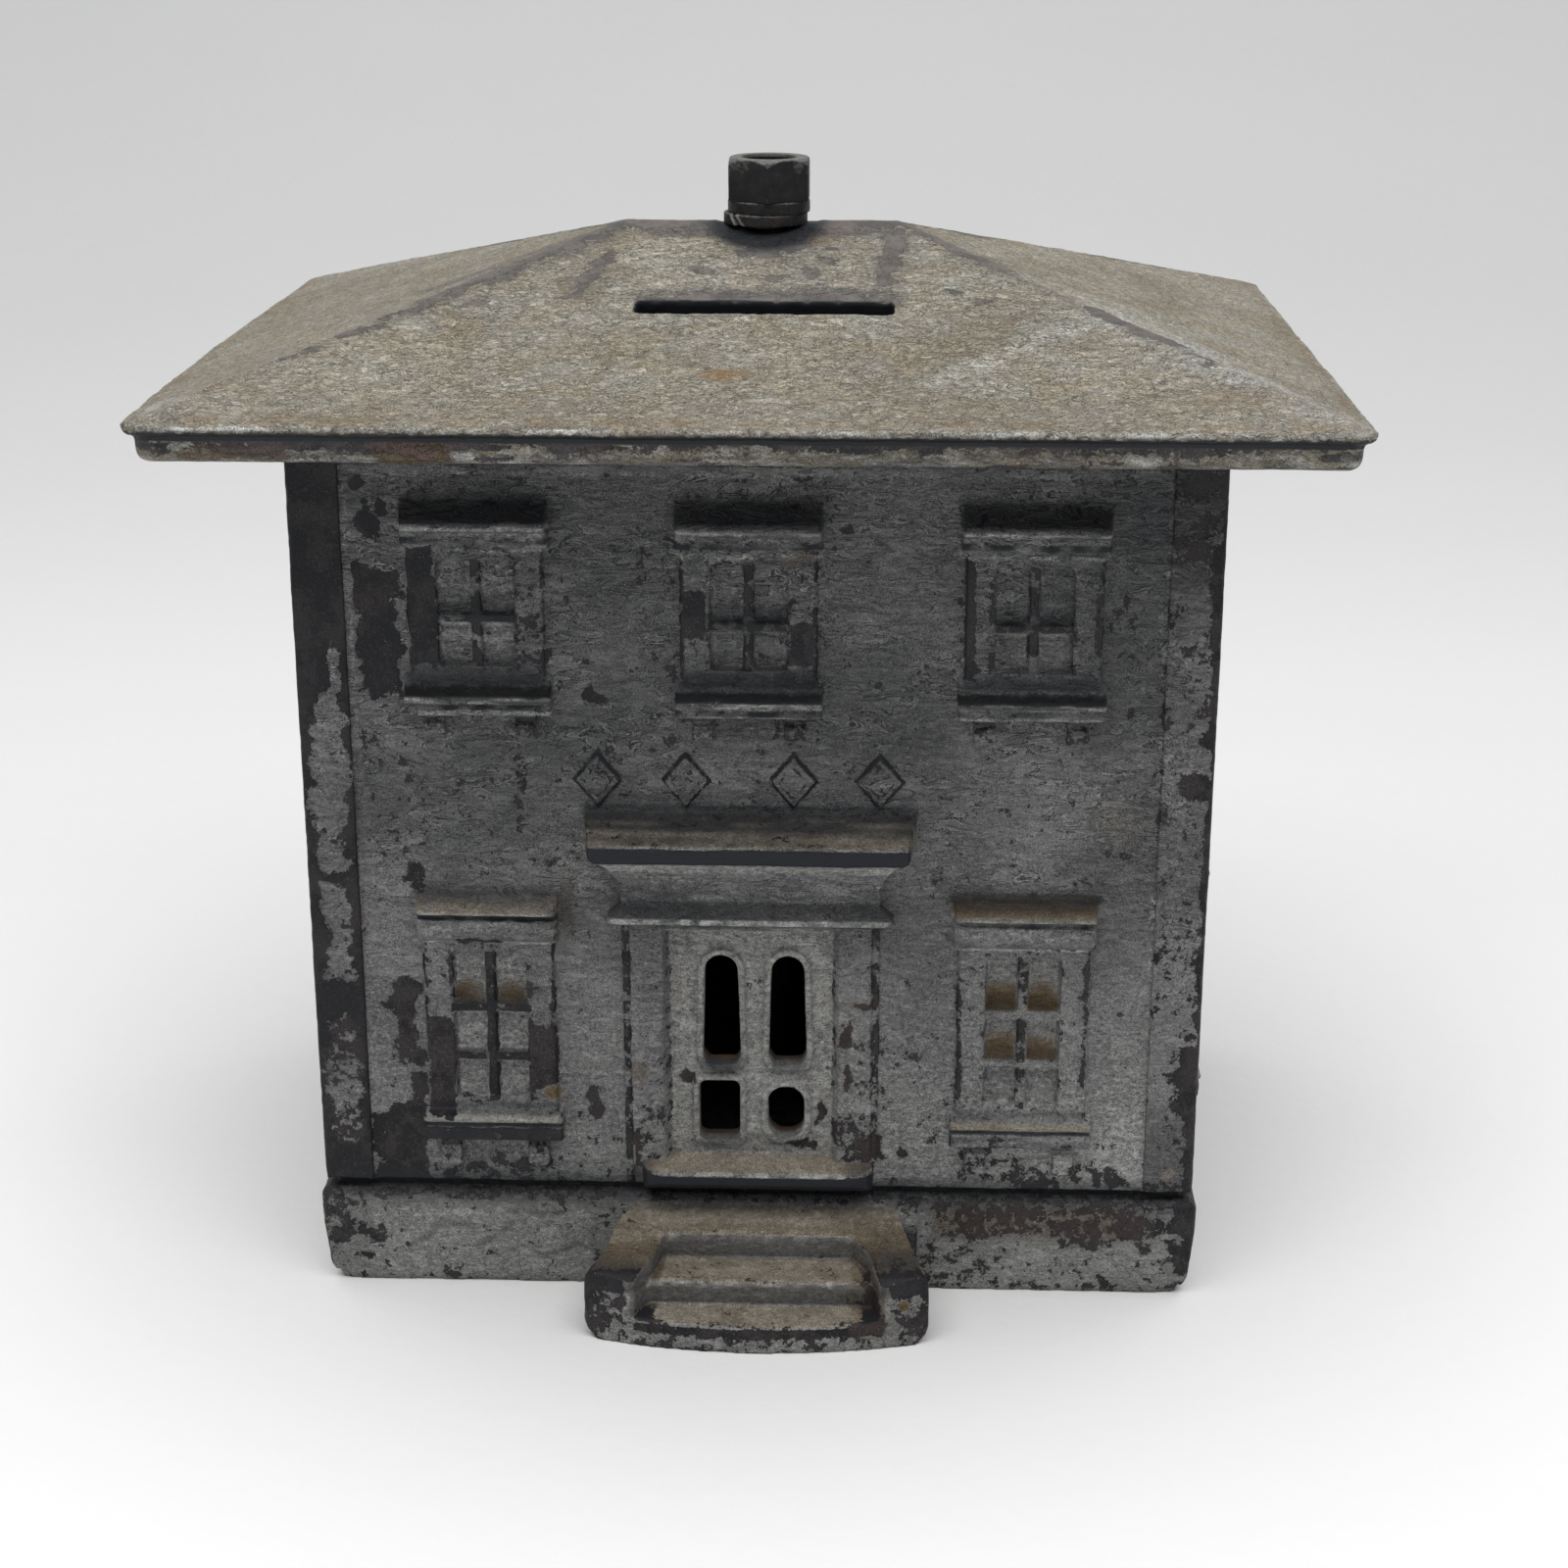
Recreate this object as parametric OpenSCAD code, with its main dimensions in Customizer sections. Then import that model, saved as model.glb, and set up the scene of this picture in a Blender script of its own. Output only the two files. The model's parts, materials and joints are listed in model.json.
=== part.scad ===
// Cast iron house bank, in millimetres.
// Front of the house faces -Y, +Z is up, the floor is z = 0 and the origin is
// below the middle of the house. Every piece is a separate solid in its own node.

/* [House walls] */
// Width of the house across the front, corner to corner
body_w = 100; // [98:0.5:102]
// Depth of the house, front to back
body_d = 75.6; // [74.6:0.2:77]
// Height of the walls from the seat on the base to the eaves
wall_h = 86.6; // [86.2:0.2:87.4]
// Thickness of the two side walls
side_t = 3; // [2.6:0.1:3.4]
// Thickness of the front and back walls
face_t = 3.4; // [3.2:0.1:3.8]
// Width of the corner strips that the side walls fold round to the front and back
strip_w = 5.6; // [5.2:0.1:6]
// Thickness of the corner strips
strip_t = 2.2; // [2:0.1:2.4]
// How far the wall field lies behind the corner strips
field_sink = 0.5; // [0.3:0.1:0.7]
// Gap in the seams between wall castings
seam = 0.1; // [0.06:0.02:0.2]

/* [Windows] */
// Distance of the outer windows from the middle of the front
win_x = 30; // [29:0.25:31]
// Sideways position of the middle upper window
mid_win_x = -0.6; // [-1:0.1:1]
// Distance of the side windows from the middle of a side wall
side_win_y = 17; // [15.5:0.25:18]
// Half width of a window frame
win_half = 7.3; // [7:0.1:7.6]
// Half width of the hoods and sills
hood_half = 8; // [7.8:0.1:8.2]
// How far the window frames stand out of the wall field
frame_out = 0.75; // [0.6:0.05:0.9]
// How far the panes lie behind the wall field
pane_sink = 0.4; // [0.2:0.05:0.6]
// Width of the glazing bars
bar_w = 1.1; // [0.9:0.1:1.3]

/* [Door] */
// Sideways position of the doorway
door_x = -0.55; // [-1:0.05:1]
// How far the canopy stands out of the wall field
canopy_out = 5.5; // [4.8:0.1:6]
// How far the door threshold stands out of the wall field
threshold_out = 3.4; // [3:0.1:4]
// Width of the two arched door lights at the top
light_w = 3.7; // [3.4:0.1:3.9]

/* [Base and steps] */
// Width of the base
base_w = 101.2; // [101:0.2:102]
// Depth of the base
base_d = 76.4; // [76.2:0.2:77]
// Height of the base's top ledge above the floor
base_h = 12; // [11.8:0.1:12.2]
// Height of the seat that the walls stand on above the ledge
seat_h = 1.1; // [0.9:0.1:1.3]
// Thickness of the base's outer walls
base_t = 4; // [3.6:0.1:4.4]
// Sideways position of the steps
steps_x = 0.45; // [0:0.05:0.8]
// How far the steps reach in front of the middle of the house
steps_front = 52.8; // [52.4:0.1:53]

/* [Roof] */
// Width of the roof at the lip of the eaves
roof_w = 126; // [125:0.5:127]
// Depth of the roof at the lip of the eaves
roof_d = 102; // [101.4:0.2:103]
// Length of the ridge
ridge_l = 30.4; // [28:0.2:33]
// Height of the ridge above the walls' top
ridge_rise = 18.5; // [18:0.1:19]
// Height of the lip of the eaves above the walls' top
lip_rise = 4.1; // [3.9:0.1:4.3]
// Thickness of the roof casting
roof_t = 3.3; // [2.8:0.1:3.6]
// Length of the coin slot
slot_l = 28.1; // [26:0.1:30]
// Width of the coin slot
slot_w = 3; // [2.6:0.1:3.4]
// Distance of the coin slot from the ridge, down the slope
slot_down = 23.8; // [22:0.1:25]

/* [Bolt and nut] */
// Diameter of the long bolt
bolt_d = 5.4; // [5:0.1:5.6]
// Diameter of the bolt's head
head_d = 10; // [9:0.2:11]
// Height of the bolt's head
head_h = 3.2; // [2.8:0.1:3.4]
// Width of the hexagon nut across its flats
nut_af = 9.2; // [9:0.1:9.5]
// Height of the nut
nut_h = 4.8; // [4.4:0.1:5.2]
// Thickness of the split spring washer
spring_t = 1.3; // [1.1:0.1:1.5]
// Thickness of the flat washer
washer_t = 1.4; // [1.2:0.1:1.5]
// Depth of the bolt's end below the top of the nut
bolt_sunk = 1.5; // [1.2:0.1:2]

/* [Hidden] */
$fn = 64;
eps = 0.01;
seat_z = base_h + seat_h;              // foot of the walls
top_z = seat_z + wall_h;               // top of the walls
face_y = body_d / 2;                   // outer face of the corner strips
field_y = face_y - field_sink;         // wall field
in_x = body_w / 2 - side_t;            // inside of the side walls
in_y = field_y - face_t;               // inside of the front and back walls
k = wall_h / 86.6;                     // storey heights follow the wall height
rim_w = 2;                             // thickness of the locating rims
rim_h = 3;                             // height of the locating rims
rim_gap = 0.25;                        // clearance of the rims inside the walls
a_e = roof_w / 2;
b_e = roof_d / 2;
r_e = ridge_l / 2;
lip_z = top_z + lip_rise;
ridge_z = top_z + ridge_rise;
slope_y = atan((ridge_z - lip_z) / b_e);
slope_x = atan((ridge_z - lip_z) / (a_e - r_e));
nut_seat = ridge_z - 0.2;              // flat on the ridge under the washers
spring_z = nut_seat;
washer_z = spring_z + spring_t;
nut_z = washer_z + washer_t;
bolt_top = nut_z + nut_h - bolt_sunk;
plate_z = base_h - 3.6;                // underside of the base's top plate
bolt_r = bolt_d / 2;
nut_r = bolt_r + 0.06;                 // thread, running on the bolt
wash_r = bolt_r + 0.55;
hole_r = bolt_r + 0.5;

function zz(z) = seat_z + (z - 13.1) * k;   // a height measured on the front

// ---------------------------------------------------------------- helpers
// A bar on the wall field: x0..x1, z0..z1, standing p0..p1 out of it.
module bar(x0, x1, z0, z1, p0, p1)
    translate([x0, -p1, z0]) cube([x1 - x0, p1 - p0, z1 - z0]);

// A moulding along X from [out, height] points.
module moulding(x0, x1, pts)
    translate([x0, 0, 0]) rotate([90, 0, 90])
        linear_extrude(x1 - x0) polygon([for (q = pts) [-q[0], q[1]]]);

// A front-view outline (x, z) made into a slab standing p0..p1 out of the field.
module outline(p0, p1)
    translate([0, -p0, 0]) rotate([90, 0, 0]) linear_extrude(p1 - p0) children();

module rrect(w, h, r) {
    square([w - 2 * r, h], center = true);
    square([w, h - 2 * r], center = true);
    for (sx = [-1, 1], sy = [-1, 1])
        translate([sx * (w / 2 - r), sy * (h / 2 - r)]) circle(r = r);
}

module ring_box(ax, ay, t, z0, z1)
    difference() {
        translate([-ax, -ay, z0]) cube([2 * ax, 2 * ay, z1 - z0]);
        translate([-ax + t, -ay + t, z0 - 1]) cube([2 * (ax - t), 2 * (ay - t), z1 - z0 + 2]);
    }

module on_front() translate([0, -field_y, 0]) children();
module on_back() rotate([0, 0, 180]) translate([0, -field_y, 0]) children();

// ---------------------------------------------------------------- windows
// Frame and glazing bars; z0..z1 is the frame, rows of two panes each, low
// is how far up the first row starts.
module sash_solid(cx, z0, z1)
    bar(cx - win_half, cx + win_half, z0, z1, -eps, frame_out);

module sash_pocket(cx, z0, z1)
    translate([0, 0, 0]) moulding(cx - 4.2, cx + 4.2, [
        [-pane_sink, z0 + 1.9], [-pane_sink, z1 - 1.5],
        [frame_out + 1, z1 - 1.2], [frame_out + 1, z0 + 0.75], [frame_out, z0 + 1.35]]);

module sash_bars(cx, z0, z1, rows, low) {
    h = z1 - z0;
    bar(cx - bar_w / 2, cx + bar_w / 2, z0 + 1, z1 - 1, -pane_sink - eps, frame_out - 0.3);
    for (i = [1 : rows - 1]) {
        zc = z0 + low + i * (h - 3) / rows;
        moulding(cx - 4.3, cx + 4.3, [
            [-pane_sink - eps, zc + 0.85], [frame_out - 0.25, zc + 0.35],
            [frame_out - 0.25, zc - 0.55], [-pane_sink - eps, zc - 0.75]]);
    }
}

module brackets(cx, z0, z1)
    for (s = [-1, 1]) translate([cx + s * 5, 0, 0]) {
        moulding(-1.2, 1.2, [[-eps, z0 - 0.3], [0.7, z0], [1.1, z0 + 0.5], [1.1, z1 - 1.2],
                             [0.6, z1 - 1.0], [0.6, z1 - 0.6], [1.2, z1 - 0.4], [1.2, z1], [-eps, z1]]);
    }

module window_upper(cx) {
    z0 = zz(74); z1 = zz(88.4);
    sash_solid(cx, z0, z1);
    // hood: steep weathered top, lip, fascia and fillet
    intersection() {
        moulding(cx - hood_half, cx + hood_half, [
            [-eps, z1 + 5.05], [2.2, z1 + 3.0], [2.2, z1 + 2.15], [1.5, z1 + 1.9],
            [1.2, z1 + 1.6], [1.2, z1 + 0.6], [0.9, z1 + 0.2], [frame_out, z1 - 0.1], [-eps, z1 - 0.1]]);
        linear_extrude(height = 300, center = false)
            polygon([[cx - hood_half, 1], [cx - hood_half, 0], [cx - hood_half + 0.35, -2.3],
                     [cx + hood_half - 0.35, -2.3], [cx + hood_half, 0], [cx + hood_half, 1]]);
    }
    // sill: sloping top, front face with a groove
    moulding(cx - hood_half, cx + hood_half, [
        [-eps, z0 + 0.3], [0.4, z0 + 0.2], [2.0, z0 - 1.8], [2.0, z0 - 2.65], [1.7, z0 - 2.85],
        [1.7, z0 - 3.3], [2.0, z0 - 3.4], [2.0, z0 - 3.9], [1.7, z0 - 4.1], [-eps, z0 - 4.1]]);
    brackets(cx, z0 - 7.0, z0 - 4.1 + eps);
}

module window_lower(cx) {
    z0 = zz(22.3); z1 = zz(43.2);
    sash_solid(cx, z0, z1);
    // hood: weathered top with a thin lip, recess, tall fascia
    intersection() {
        moulding(cx - hood_half, cx + hood_half, [
            [-eps, z1 + 5.8], [2.4, z1 + 4.1], [2.4, z1 + 3.65], [1.5, z1 + 3.3], [1.4, z1 + 2.9],
            [1.75, z1 + 2.7], [1.75, z1 + 0.7], [1.4, z1 + 0.25], [frame_out, z1 - 0.1], [-eps, z1 - 0.1]]);
        linear_extrude(height = 300, center = false)
            polygon([[cx - hood_half, 1], [cx - hood_half, 0], [cx - hood_half + 0.3, -2.6],
                     [cx + hood_half - 0.3, -2.6], [cx + hood_half, 0], [cx + hood_half, 1]]);
    }
    // sill: nearly level ledge, groove, fascia
    moulding(cx - hood_half, cx + hood_half, [
        [-eps, z0 + 0.9], [frame_out + 0.1, z0 + 0.2], [2.5, z0 - 0.25], [2.5, z0 - 0.65], [2.1, z0 - 0.8],
        [2.05, z0 - 1.25], [2.35, z0 - 1.4], [2.35, z0 - 2.8], [2.0, z0 - 3.1], [-eps, z0 - 3.1]]);
    brackets(cx, z0 - 7.1, z0 - 3.1 + eps);
}

module upper_pocket(cx) sash_pocket(cx, zz(74), zz(88.4));
module lower_pocket(cx) sash_pocket(cx, zz(22.3), zz(43.2));
module upper_bars(cx) sash_bars(cx, zz(74), zz(88.4), 2, 1.35);
module lower_bars(cx) sash_bars(cx, zz(22.3), zz(43.2), 3, 0.8);

// ---------------------------------------------------------------- doorway
module canopy() translate([door_x, 0, 0]) {
    zt = zz(58.7); zl = zz(56.35); zb = zz(54.5);
    // hipped top and front band with rounded lower corners
    intersection() {
        moulding(-18.4, 18.4, [[-eps, zt], [canopy_out - 0.1, zl + 0.05], [canopy_out, zl - 0.15],
            [canopy_out, zb], [canopy_out - 0.4, zb - 0.3], [3.2, zb - 0.9], [-eps, zb - 0.9]]);
        linear_extrude(height = 300, center = false)
            polygon([[-18.35, 1], [-18.35, 0], [-17.5, -canopy_out - 0.1], [17.5, -canopy_out - 0.1],
                     [18.35, 0], [18.35, 1]]);
        outline(-1, canopy_out + 1) union() {
            translate([-18.4, zb - 0.3 + 1.2]) square([36.8, 10]);
            translate([-17.0, zb - 1]) square([34, 4]);
            for (s = [-1, 1]) translate([s * 16.3, zb - 0.3 + 1.2]) circle(r = 1.2);
            for (s = [-1, 1]) translate([s * 17.25, zb - 0.3 + 1.4]) circle(r = 1.1);
        }
    }
    // flaring entablature under the band
    intersection() {
        moulding(-17.4, 17.4, [[-eps, zb], [4.6, zb], [3.6, zb - 0.9], [2.6, zb - 1.7], [1.8, zb - 2.9],
            [1.35, zb - 4.2], [1.2, zb - 6.2], [2.6, zb - 7.75], [2.6, zb - 8.35], [1.5, zb - 8.9], [-eps, zb - 8.9]]);
        outline(-1, 6) polygon([
            [-15.9, zb - 8.9], [-15.9, zb - 7.6], [-14.4, zb - 6.4], [-14.5, zb - 4.2], [-15.0, zb - 2.9],
            [-15.9, zb - 1.7], [-16.7, zb - 0.9], [-17.3, zb], [17.3, zb], [16.7, zb - 0.9], [15.9, zb - 1.7],
            [15.0, zb - 2.9], [14.5, zb - 4.2], [14.4, zb - 6.4], [15.9, zb - 7.6], [15.9, zb - 8.9]]);
    }
}

module door_surround() translate([door_x, 0, 0]) {
    zb = zz(45.8);
    for (s = [-1, 1]) {
        // pilaster with a splayed inner edge, and the thin backband outside it
        intersection() {
            bar(s > 0 ? 9.0 : -13.7, s > 0 ? 13.7 : -9.0, zz(15.6), zb, -1.6, 1.0);
            linear_extrude(height = 300, center = false)
                polygon(s > 0 ? [[9.0, 1.6], [9.1, 0.5], [9.9, -1.0], [13.6, -1.0], [13.7, 0], [13.7, 1.6]]
                              : [[-13.7, 1.6], [-13.7, 0], [-13.6, -1.0], [-9.9, -1.0], [-9.1, 0.5], [-9.0, 1.6]]);
        }
        bar(s > 0 ? 13.6 : -14.4, s > 0 ? 14.4 : -13.6, zz(13.6), zb, -eps, 0.45);
    }
    bar(-9.6, 9.6, zz(44.8), zb, -1.6, 0.9);
}

module threshold() translate([door_x, 0, 0]) {
    t = threshold_out;
    intersection() {
        moulding(-12.5, 13.9, [[-1.5, zz(16.8)], [-0.5, zz(16.7)], [t - 0.4, zz(16.1)], [t, zz(15.75)], [t, zz(14.6)],
            [t - 0.4, zz(14.2)], [1.2, zz(13.1)], [-1.5, zz(13.1)]]);
        linear_extrude(height = 300, center = false)
            polygon([[-12.4, 1.6], [-12.4, -t + 2.0], [-11.9, -t + 1.0], [-11.0, -t + 0.3], [-9.8, -t - 0.1],
                     [11.2, -t - 0.1], [12.4, -t + 0.3], [13.3, -t + 1.0], [13.8, -t + 2.0], [13.8, 1.6]]);
    }
}

// outline of an arched light, top radius r, g wider all round
module arch2d(r, g) {
    z1 = zz(39.6); z0 = zz(28.05);
    translate([0, z1]) circle(r = r + g);
    polygon([[-r - g, z1], [r + g, z1], [r + 0.3 + g, z0 + 1.1], [r - 0.35 + g, z0 - g], [-r + 0.35 - g, z0 - g], [-r - 0.3 - g, z0 + 1.1]]);
}

module door_slab_rims() translate([door_x, 0, 0]) {
    for (s = [-1, 1]) difference() {
        outline(-0.8, -0.15) translate([s * 3.75 + 0.38, 0]) arch2d(light_w / 2, 0.75);
        outline(-2, 1) translate([s * 3.75 + 0.38, 0]) arch2d(light_w / 2, 0);
    }
    difference() {
        outline(-0.8, -0.15) translate([-3.65, zz(22.3)]) rrect(6.0, 8.9, 1.2);
        outline(-2, 1) translate([-3.65, zz(22.3)]) rrect(4.6, 7.5, 0.8);
    }
    difference() {
        outline(-0.8, -0.15) translate([3.95, zz(22.15)]) rrect(5.7, 7.8, 2.5);
        outline(-2, 1) translate([3.95, zz(22.15)]) rrect(4.15, 6.4, 1.95);
    }
}

module door_lights() translate([door_x, 0, 0]) {
    for (s = [-1, 1]) outline(-face_t - 1, 2) translate([s * 3.75 + 0.38, 0]) arch2d(light_w / 2, 0);
    outline(-face_t - 1, 2) translate([-3.65, zz(22.3)]) rrect(4.6, 7.5, 0.8);
    outline(-face_t - 1, 2) translate([3.95, zz(22.15)]) rrect(4.15, 6.4, 1.95);
}

// four plain lozenges in the frieze above the canopy
module frieze_lozenges()
    for (x = [-17.3, -7.6, 4.2, 13.7]) translate([x, 0, zz(62.3)]) {
        outline(-eps, 0.45) polygon([[-2.6, 0], [0, -3.1], [2.6, 0], [0, 3.1]]);
        outline(-eps, 0.8) polygon([[-1.6, 0], [0, -1.9], [1.6, 0], [0, 1.9]]);
    }

// ---------------------------------------------------------------- walls
// Plain front or back plate, between the corner strips.
module plate() {
    fx = body_w / 2 - strip_w - seam;
    tongue = in_x - seam;
    translate([-fx, 0, seat_z]) cube([2 * fx, face_t, wall_h]);
    translate([-tongue, strip_t - field_sink + seam, seat_z])
        cube([2 * tongue, face_t - (strip_t - field_sink + seam), wall_h]);
    // frieze band under the eaves, with a sloping lower edge
    moulding(-fx, fx, [[-eps, zz(96.5)], [field_sink, zz(97.1)], [field_sink, top_z], [-eps, top_z]]);
}

module front_wall() color([0.40, 0.40, 0.41]) on_front() difference() {
    union() {
        difference() {
            union() {
                plate();
                for (x = [-win_x, mid_win_x, win_x]) window_upper(x);
                for (x = [-win_x, win_x]) window_lower(x);
                canopy();
                frieze_lozenges();
            }
            for (x = [-win_x, mid_win_x, win_x]) upper_pocket(x);
            for (x = [-win_x, win_x]) lower_pocket(x);
            // recess of the door leaf
            translate([door_x, 0, 0]) bar(-9.55, 9.55, zz(16.4), zz(45.2), -0.7, 1.5);
        }
        for (x = [-win_x, mid_win_x, win_x]) upper_bars(x);
        for (x = [-win_x, win_x]) lower_bars(x);
        door_surround();
        threshold();
        door_slab_rims();
    }
    door_lights();
}

module back_wall() color([0.38, 0.38, 0.39]) on_back() {
    difference() {
        union() {
            plate();
            for (x = [-win_x, 0, win_x]) { window_upper(x); window_lower(x); }
        }
        for (x = [-win_x, 0, win_x]) { upper_pocket(x); lower_pocket(x); }
    }
    for (x = [-win_x, 0, win_x]) { upper_bars(x); lower_bars(x); }
}

// Side wall with its corner strips; s = -1 left, +1 right.
module side_wall(s) {
    fy = face_y - strip_w;
    rotate([0, 0, s > 0 ? 90 : -90]) {
        difference() {
            union() {
                // plate; its field lies back between the corner strips as on the front
                translate([-face_y, -body_w / 2 + field_sink, seat_z])
                    cube([2 * face_y, side_t - field_sink, wall_h]);
                // corner strips on the side face
                for (m = [-1, 1]) translate([m > 0 ? fy : -face_y, -body_w / 2, seat_z])
                    cube([strip_w, side_t, wall_h]);
                // corner strips folded round to the front and back
                for (m = [-1, 1]) translate([m > 0 ? face_y - strip_t : -face_y, -body_w / 2, seat_z])
                    cube([strip_t, strip_w, wall_h]);
                translate([0, -body_w / 2 + field_sink, 0]) {
                    moulding(-fy - eps, fy + eps, [[-eps, zz(96.5)], [field_sink, zz(97.1)], [field_sink, top_z], [-eps, top_z]]);
                    for (x = [-side_win_y, side_win_y]) { window_upper(x); window_lower(x); }
                }
            }
            translate([0, -body_w / 2 + field_sink, 0])
                for (x = [-side_win_y, side_win_y]) { upper_pocket(x); lower_pocket(x); }
        }
        translate([0, -body_w / 2 + field_sink, 0])
            for (x = [-side_win_y, side_win_y]) { upper_bars(x); lower_bars(x); }
    }
}
module left_wall() color([0.36, 0.36, 0.37]) side_wall(-1);
module right_wall() color([0.36, 0.36, 0.37]) side_wall(1);

// ---------------------------------------------------------------- base
// Section of the base's outside for a half width a: slight draft, rounded foot.
module base_section(a) {
    r = 1;
    polygon([[-a + 0.75, base_h], [-a, base_h - 0.7], [-a + 0.1, base_h - 4], [-a + 0.75, r],
             [a - 0.75, r], [a - 0.1, base_h - 4], [a, base_h - 0.7], [a - 0.75, base_h]]);
    translate([-a + 0.75 + r, 0]) square([2 * (a - 0.75 - r), r + eps]);
    for (s = [-1, 1]) translate([s * (a - 0.75 - r), r]) circle(r = r);
}

module steps() translate([steps_x, 0, 0]) {
    y0 = -base_d / 2 + 1.2;          // buried in the base's front
    yL = -42.3; y2 = -47.7;          // fronts of the landing and the middle tread
    cy = -steps_front + 66;
    difference() {
        intersection() {
            // flared plan
            linear_extrude(height = 20) polygon([
                [-14.5, y0], [-14.6, -38.2], [-15.9, -39.6], [-19.3, -48.6], [-19.45, -49.6], [-19.1, -50.8],
                [-18.2, -51.9], [-15, -60], [15, -60], [18.2, -51.9], [19.1, -50.8], [19.45, -49.6], [19.3, -48.6],
                [16.2, -39.6], [15.9, -38.2], [15.9, y0]]);
            // bowed front with draft
            translate([0, cy, -1]) cylinder(r1 = 66.1, r2 = 64.9, h = 12, $fn = 240);
            // top of the landing and of the cheeks, rounded down to the front
            rotate([90, 0, 90]) translate([0, 0, -25]) linear_extrude(50) polygon([
                [y0, 0], [-60, 0], [-60, 5.6], [-51.6, 6.7], [-50.6, 7.6], [-49.4, 8.1], [-43, 9.0], [yL, 9.2],
                [-39.2, 10.5], [-38.1, 11.1], [y0, 11.1]]);
        }
        // well of the treads between the flared cheeks
        translate([0, 0, 6.2]) linear_extrude(10) polygon([
            [-10.9, yL], [-12.0, y2 + eps], [-14, -60], [14, -60], [12.0, y2 + eps], [10.9, yL]]);
        translate([0, 0, 3.2]) linear_extrude(10) polygon([
            [-12.0, y2], [-13.4, -54], [-13.4, -60], [13.4, -60], [13.4, -54], [12.0, y2]]);
    }
}

module base() color([0.42, 0.40, 0.38]) difference() {
    union() {
        intersection() {
            translate([0, base_d, 0]) rotate([90, 0, 0]) linear_extrude(2 * base_d) base_section(base_w / 2);
            translate([-base_w, 0, 0]) rotate([90, 0, 90]) linear_extrude(2 * base_w) base_section(base_d / 2);
            translate([0, 0, -1]) linear_extrude(base_h + 2) rrect(base_w + eps, base_d + eps, 1);
        }
        // seat that the walls stand on, and the rim inside them
        ring_box(body_w / 2 - 1.4, body_d / 2 - 1.4, 5.2, base_h - eps, seat_z);
        ring_box(in_x - rim_gap, in_y - rim_gap, rim_w, base_h - eps, seat_z + rim_h);
        steps();
        // small cast pad beside the steps
        translate([16.3, -base_d / 2 - 0.7, 4]) cube([2.3, 1.8, base_h - 0.1 - 4]);
    }
    // hollow underside, and the hole for the bolt
    translate([-base_w / 2 + base_t, -base_d / 2 + base_t, -1])
        cube([base_w - 2 * base_t, base_d - 2 * base_t, plate_z + 1]);
    cylinder(r = hole_r, h = 50);
}

// ---------------------------------------------------------------- roof
// Half section of the eaves: [inset from the lip, height above the wall top].
eave = [[2.9, 0], [2.1, 0.15], [1.6, 0.6], [1.45, 1.1], [1.4, 2.5], [1.25, 2.8], [0.95, 3.2],
        [0.3, lip_rise - 0.55], [0, lip_rise - 0.35], [0, lip_rise]];

module hip_section(a, r, soft) polygon(concat(
    [for (i = [0 : len(eave) - 1]) [a - eave[i][0], top_z + eave[i][1]]],
    soft > 0 ? [[r + soft, ridge_z - soft * 0.28], [r, ridge_z], [-r, ridge_z], [-r - soft, ridge_z - soft * 0.28]]
             : [[r, ridge_z], [-r, ridge_z]],
    [for (i = [len(eave) - 1 : -1 : 0]) [-a + eave[i][0], top_z + eave[i][1]]]));

module hip_inside() intersection() {
    z_in = ridge_z - roof_t;
    translate([0, 200, 0]) rotate([90, 0, 0]) linear_extrude(400) polygon([
        [-a_e, top_z - 10], [-a_e, lip_z - roof_t], [-r_e, z_in], [r_e, z_in], [a_e, lip_z - roof_t], [a_e, top_z - 10]]);
    translate([-200, 0, 0]) rotate([90, 0, 90]) linear_extrude(400) polygon([
        [-b_e, top_z - 10], [-b_e, lip_z - roof_t], [0, z_in], [b_e, lip_z - roof_t], [b_e, top_z - 10]]);
}

// the space inside the rim, its upper corners filled out where rim and slope meet
module chamber_top() {
    hx = in_x - rim_gap - rim_w;
    hy = in_y - rim_gap - rim_w;
    z1 = top_z + 3.5;
    intersection() {
        translate([0, hy, 0]) rotate([90, 0, 0]) linear_extrude(2 * hy) polygon([
            [-hx, top_z - 5], [-hx, z1], [-hx + 5, z1 + 6], [-hx + 5, ridge_z], [hx - 5, ridge_z], [hx - 5, z1 + 6], [hx, z1], [hx, top_z - 5]]);
        translate([-hx, 0, 0]) rotate([90, 0, 90]) linear_extrude(2 * hx) polygon([
            [-hy, top_z - 5], [-hy, z1], [-hy + 5, z1 + 6], [-hy + 5, ridge_z], [hy - 5, ridge_z], [hy - 5, z1 + 6], [hy, z1], [hy, top_z - 5]]);
    }
}

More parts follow.
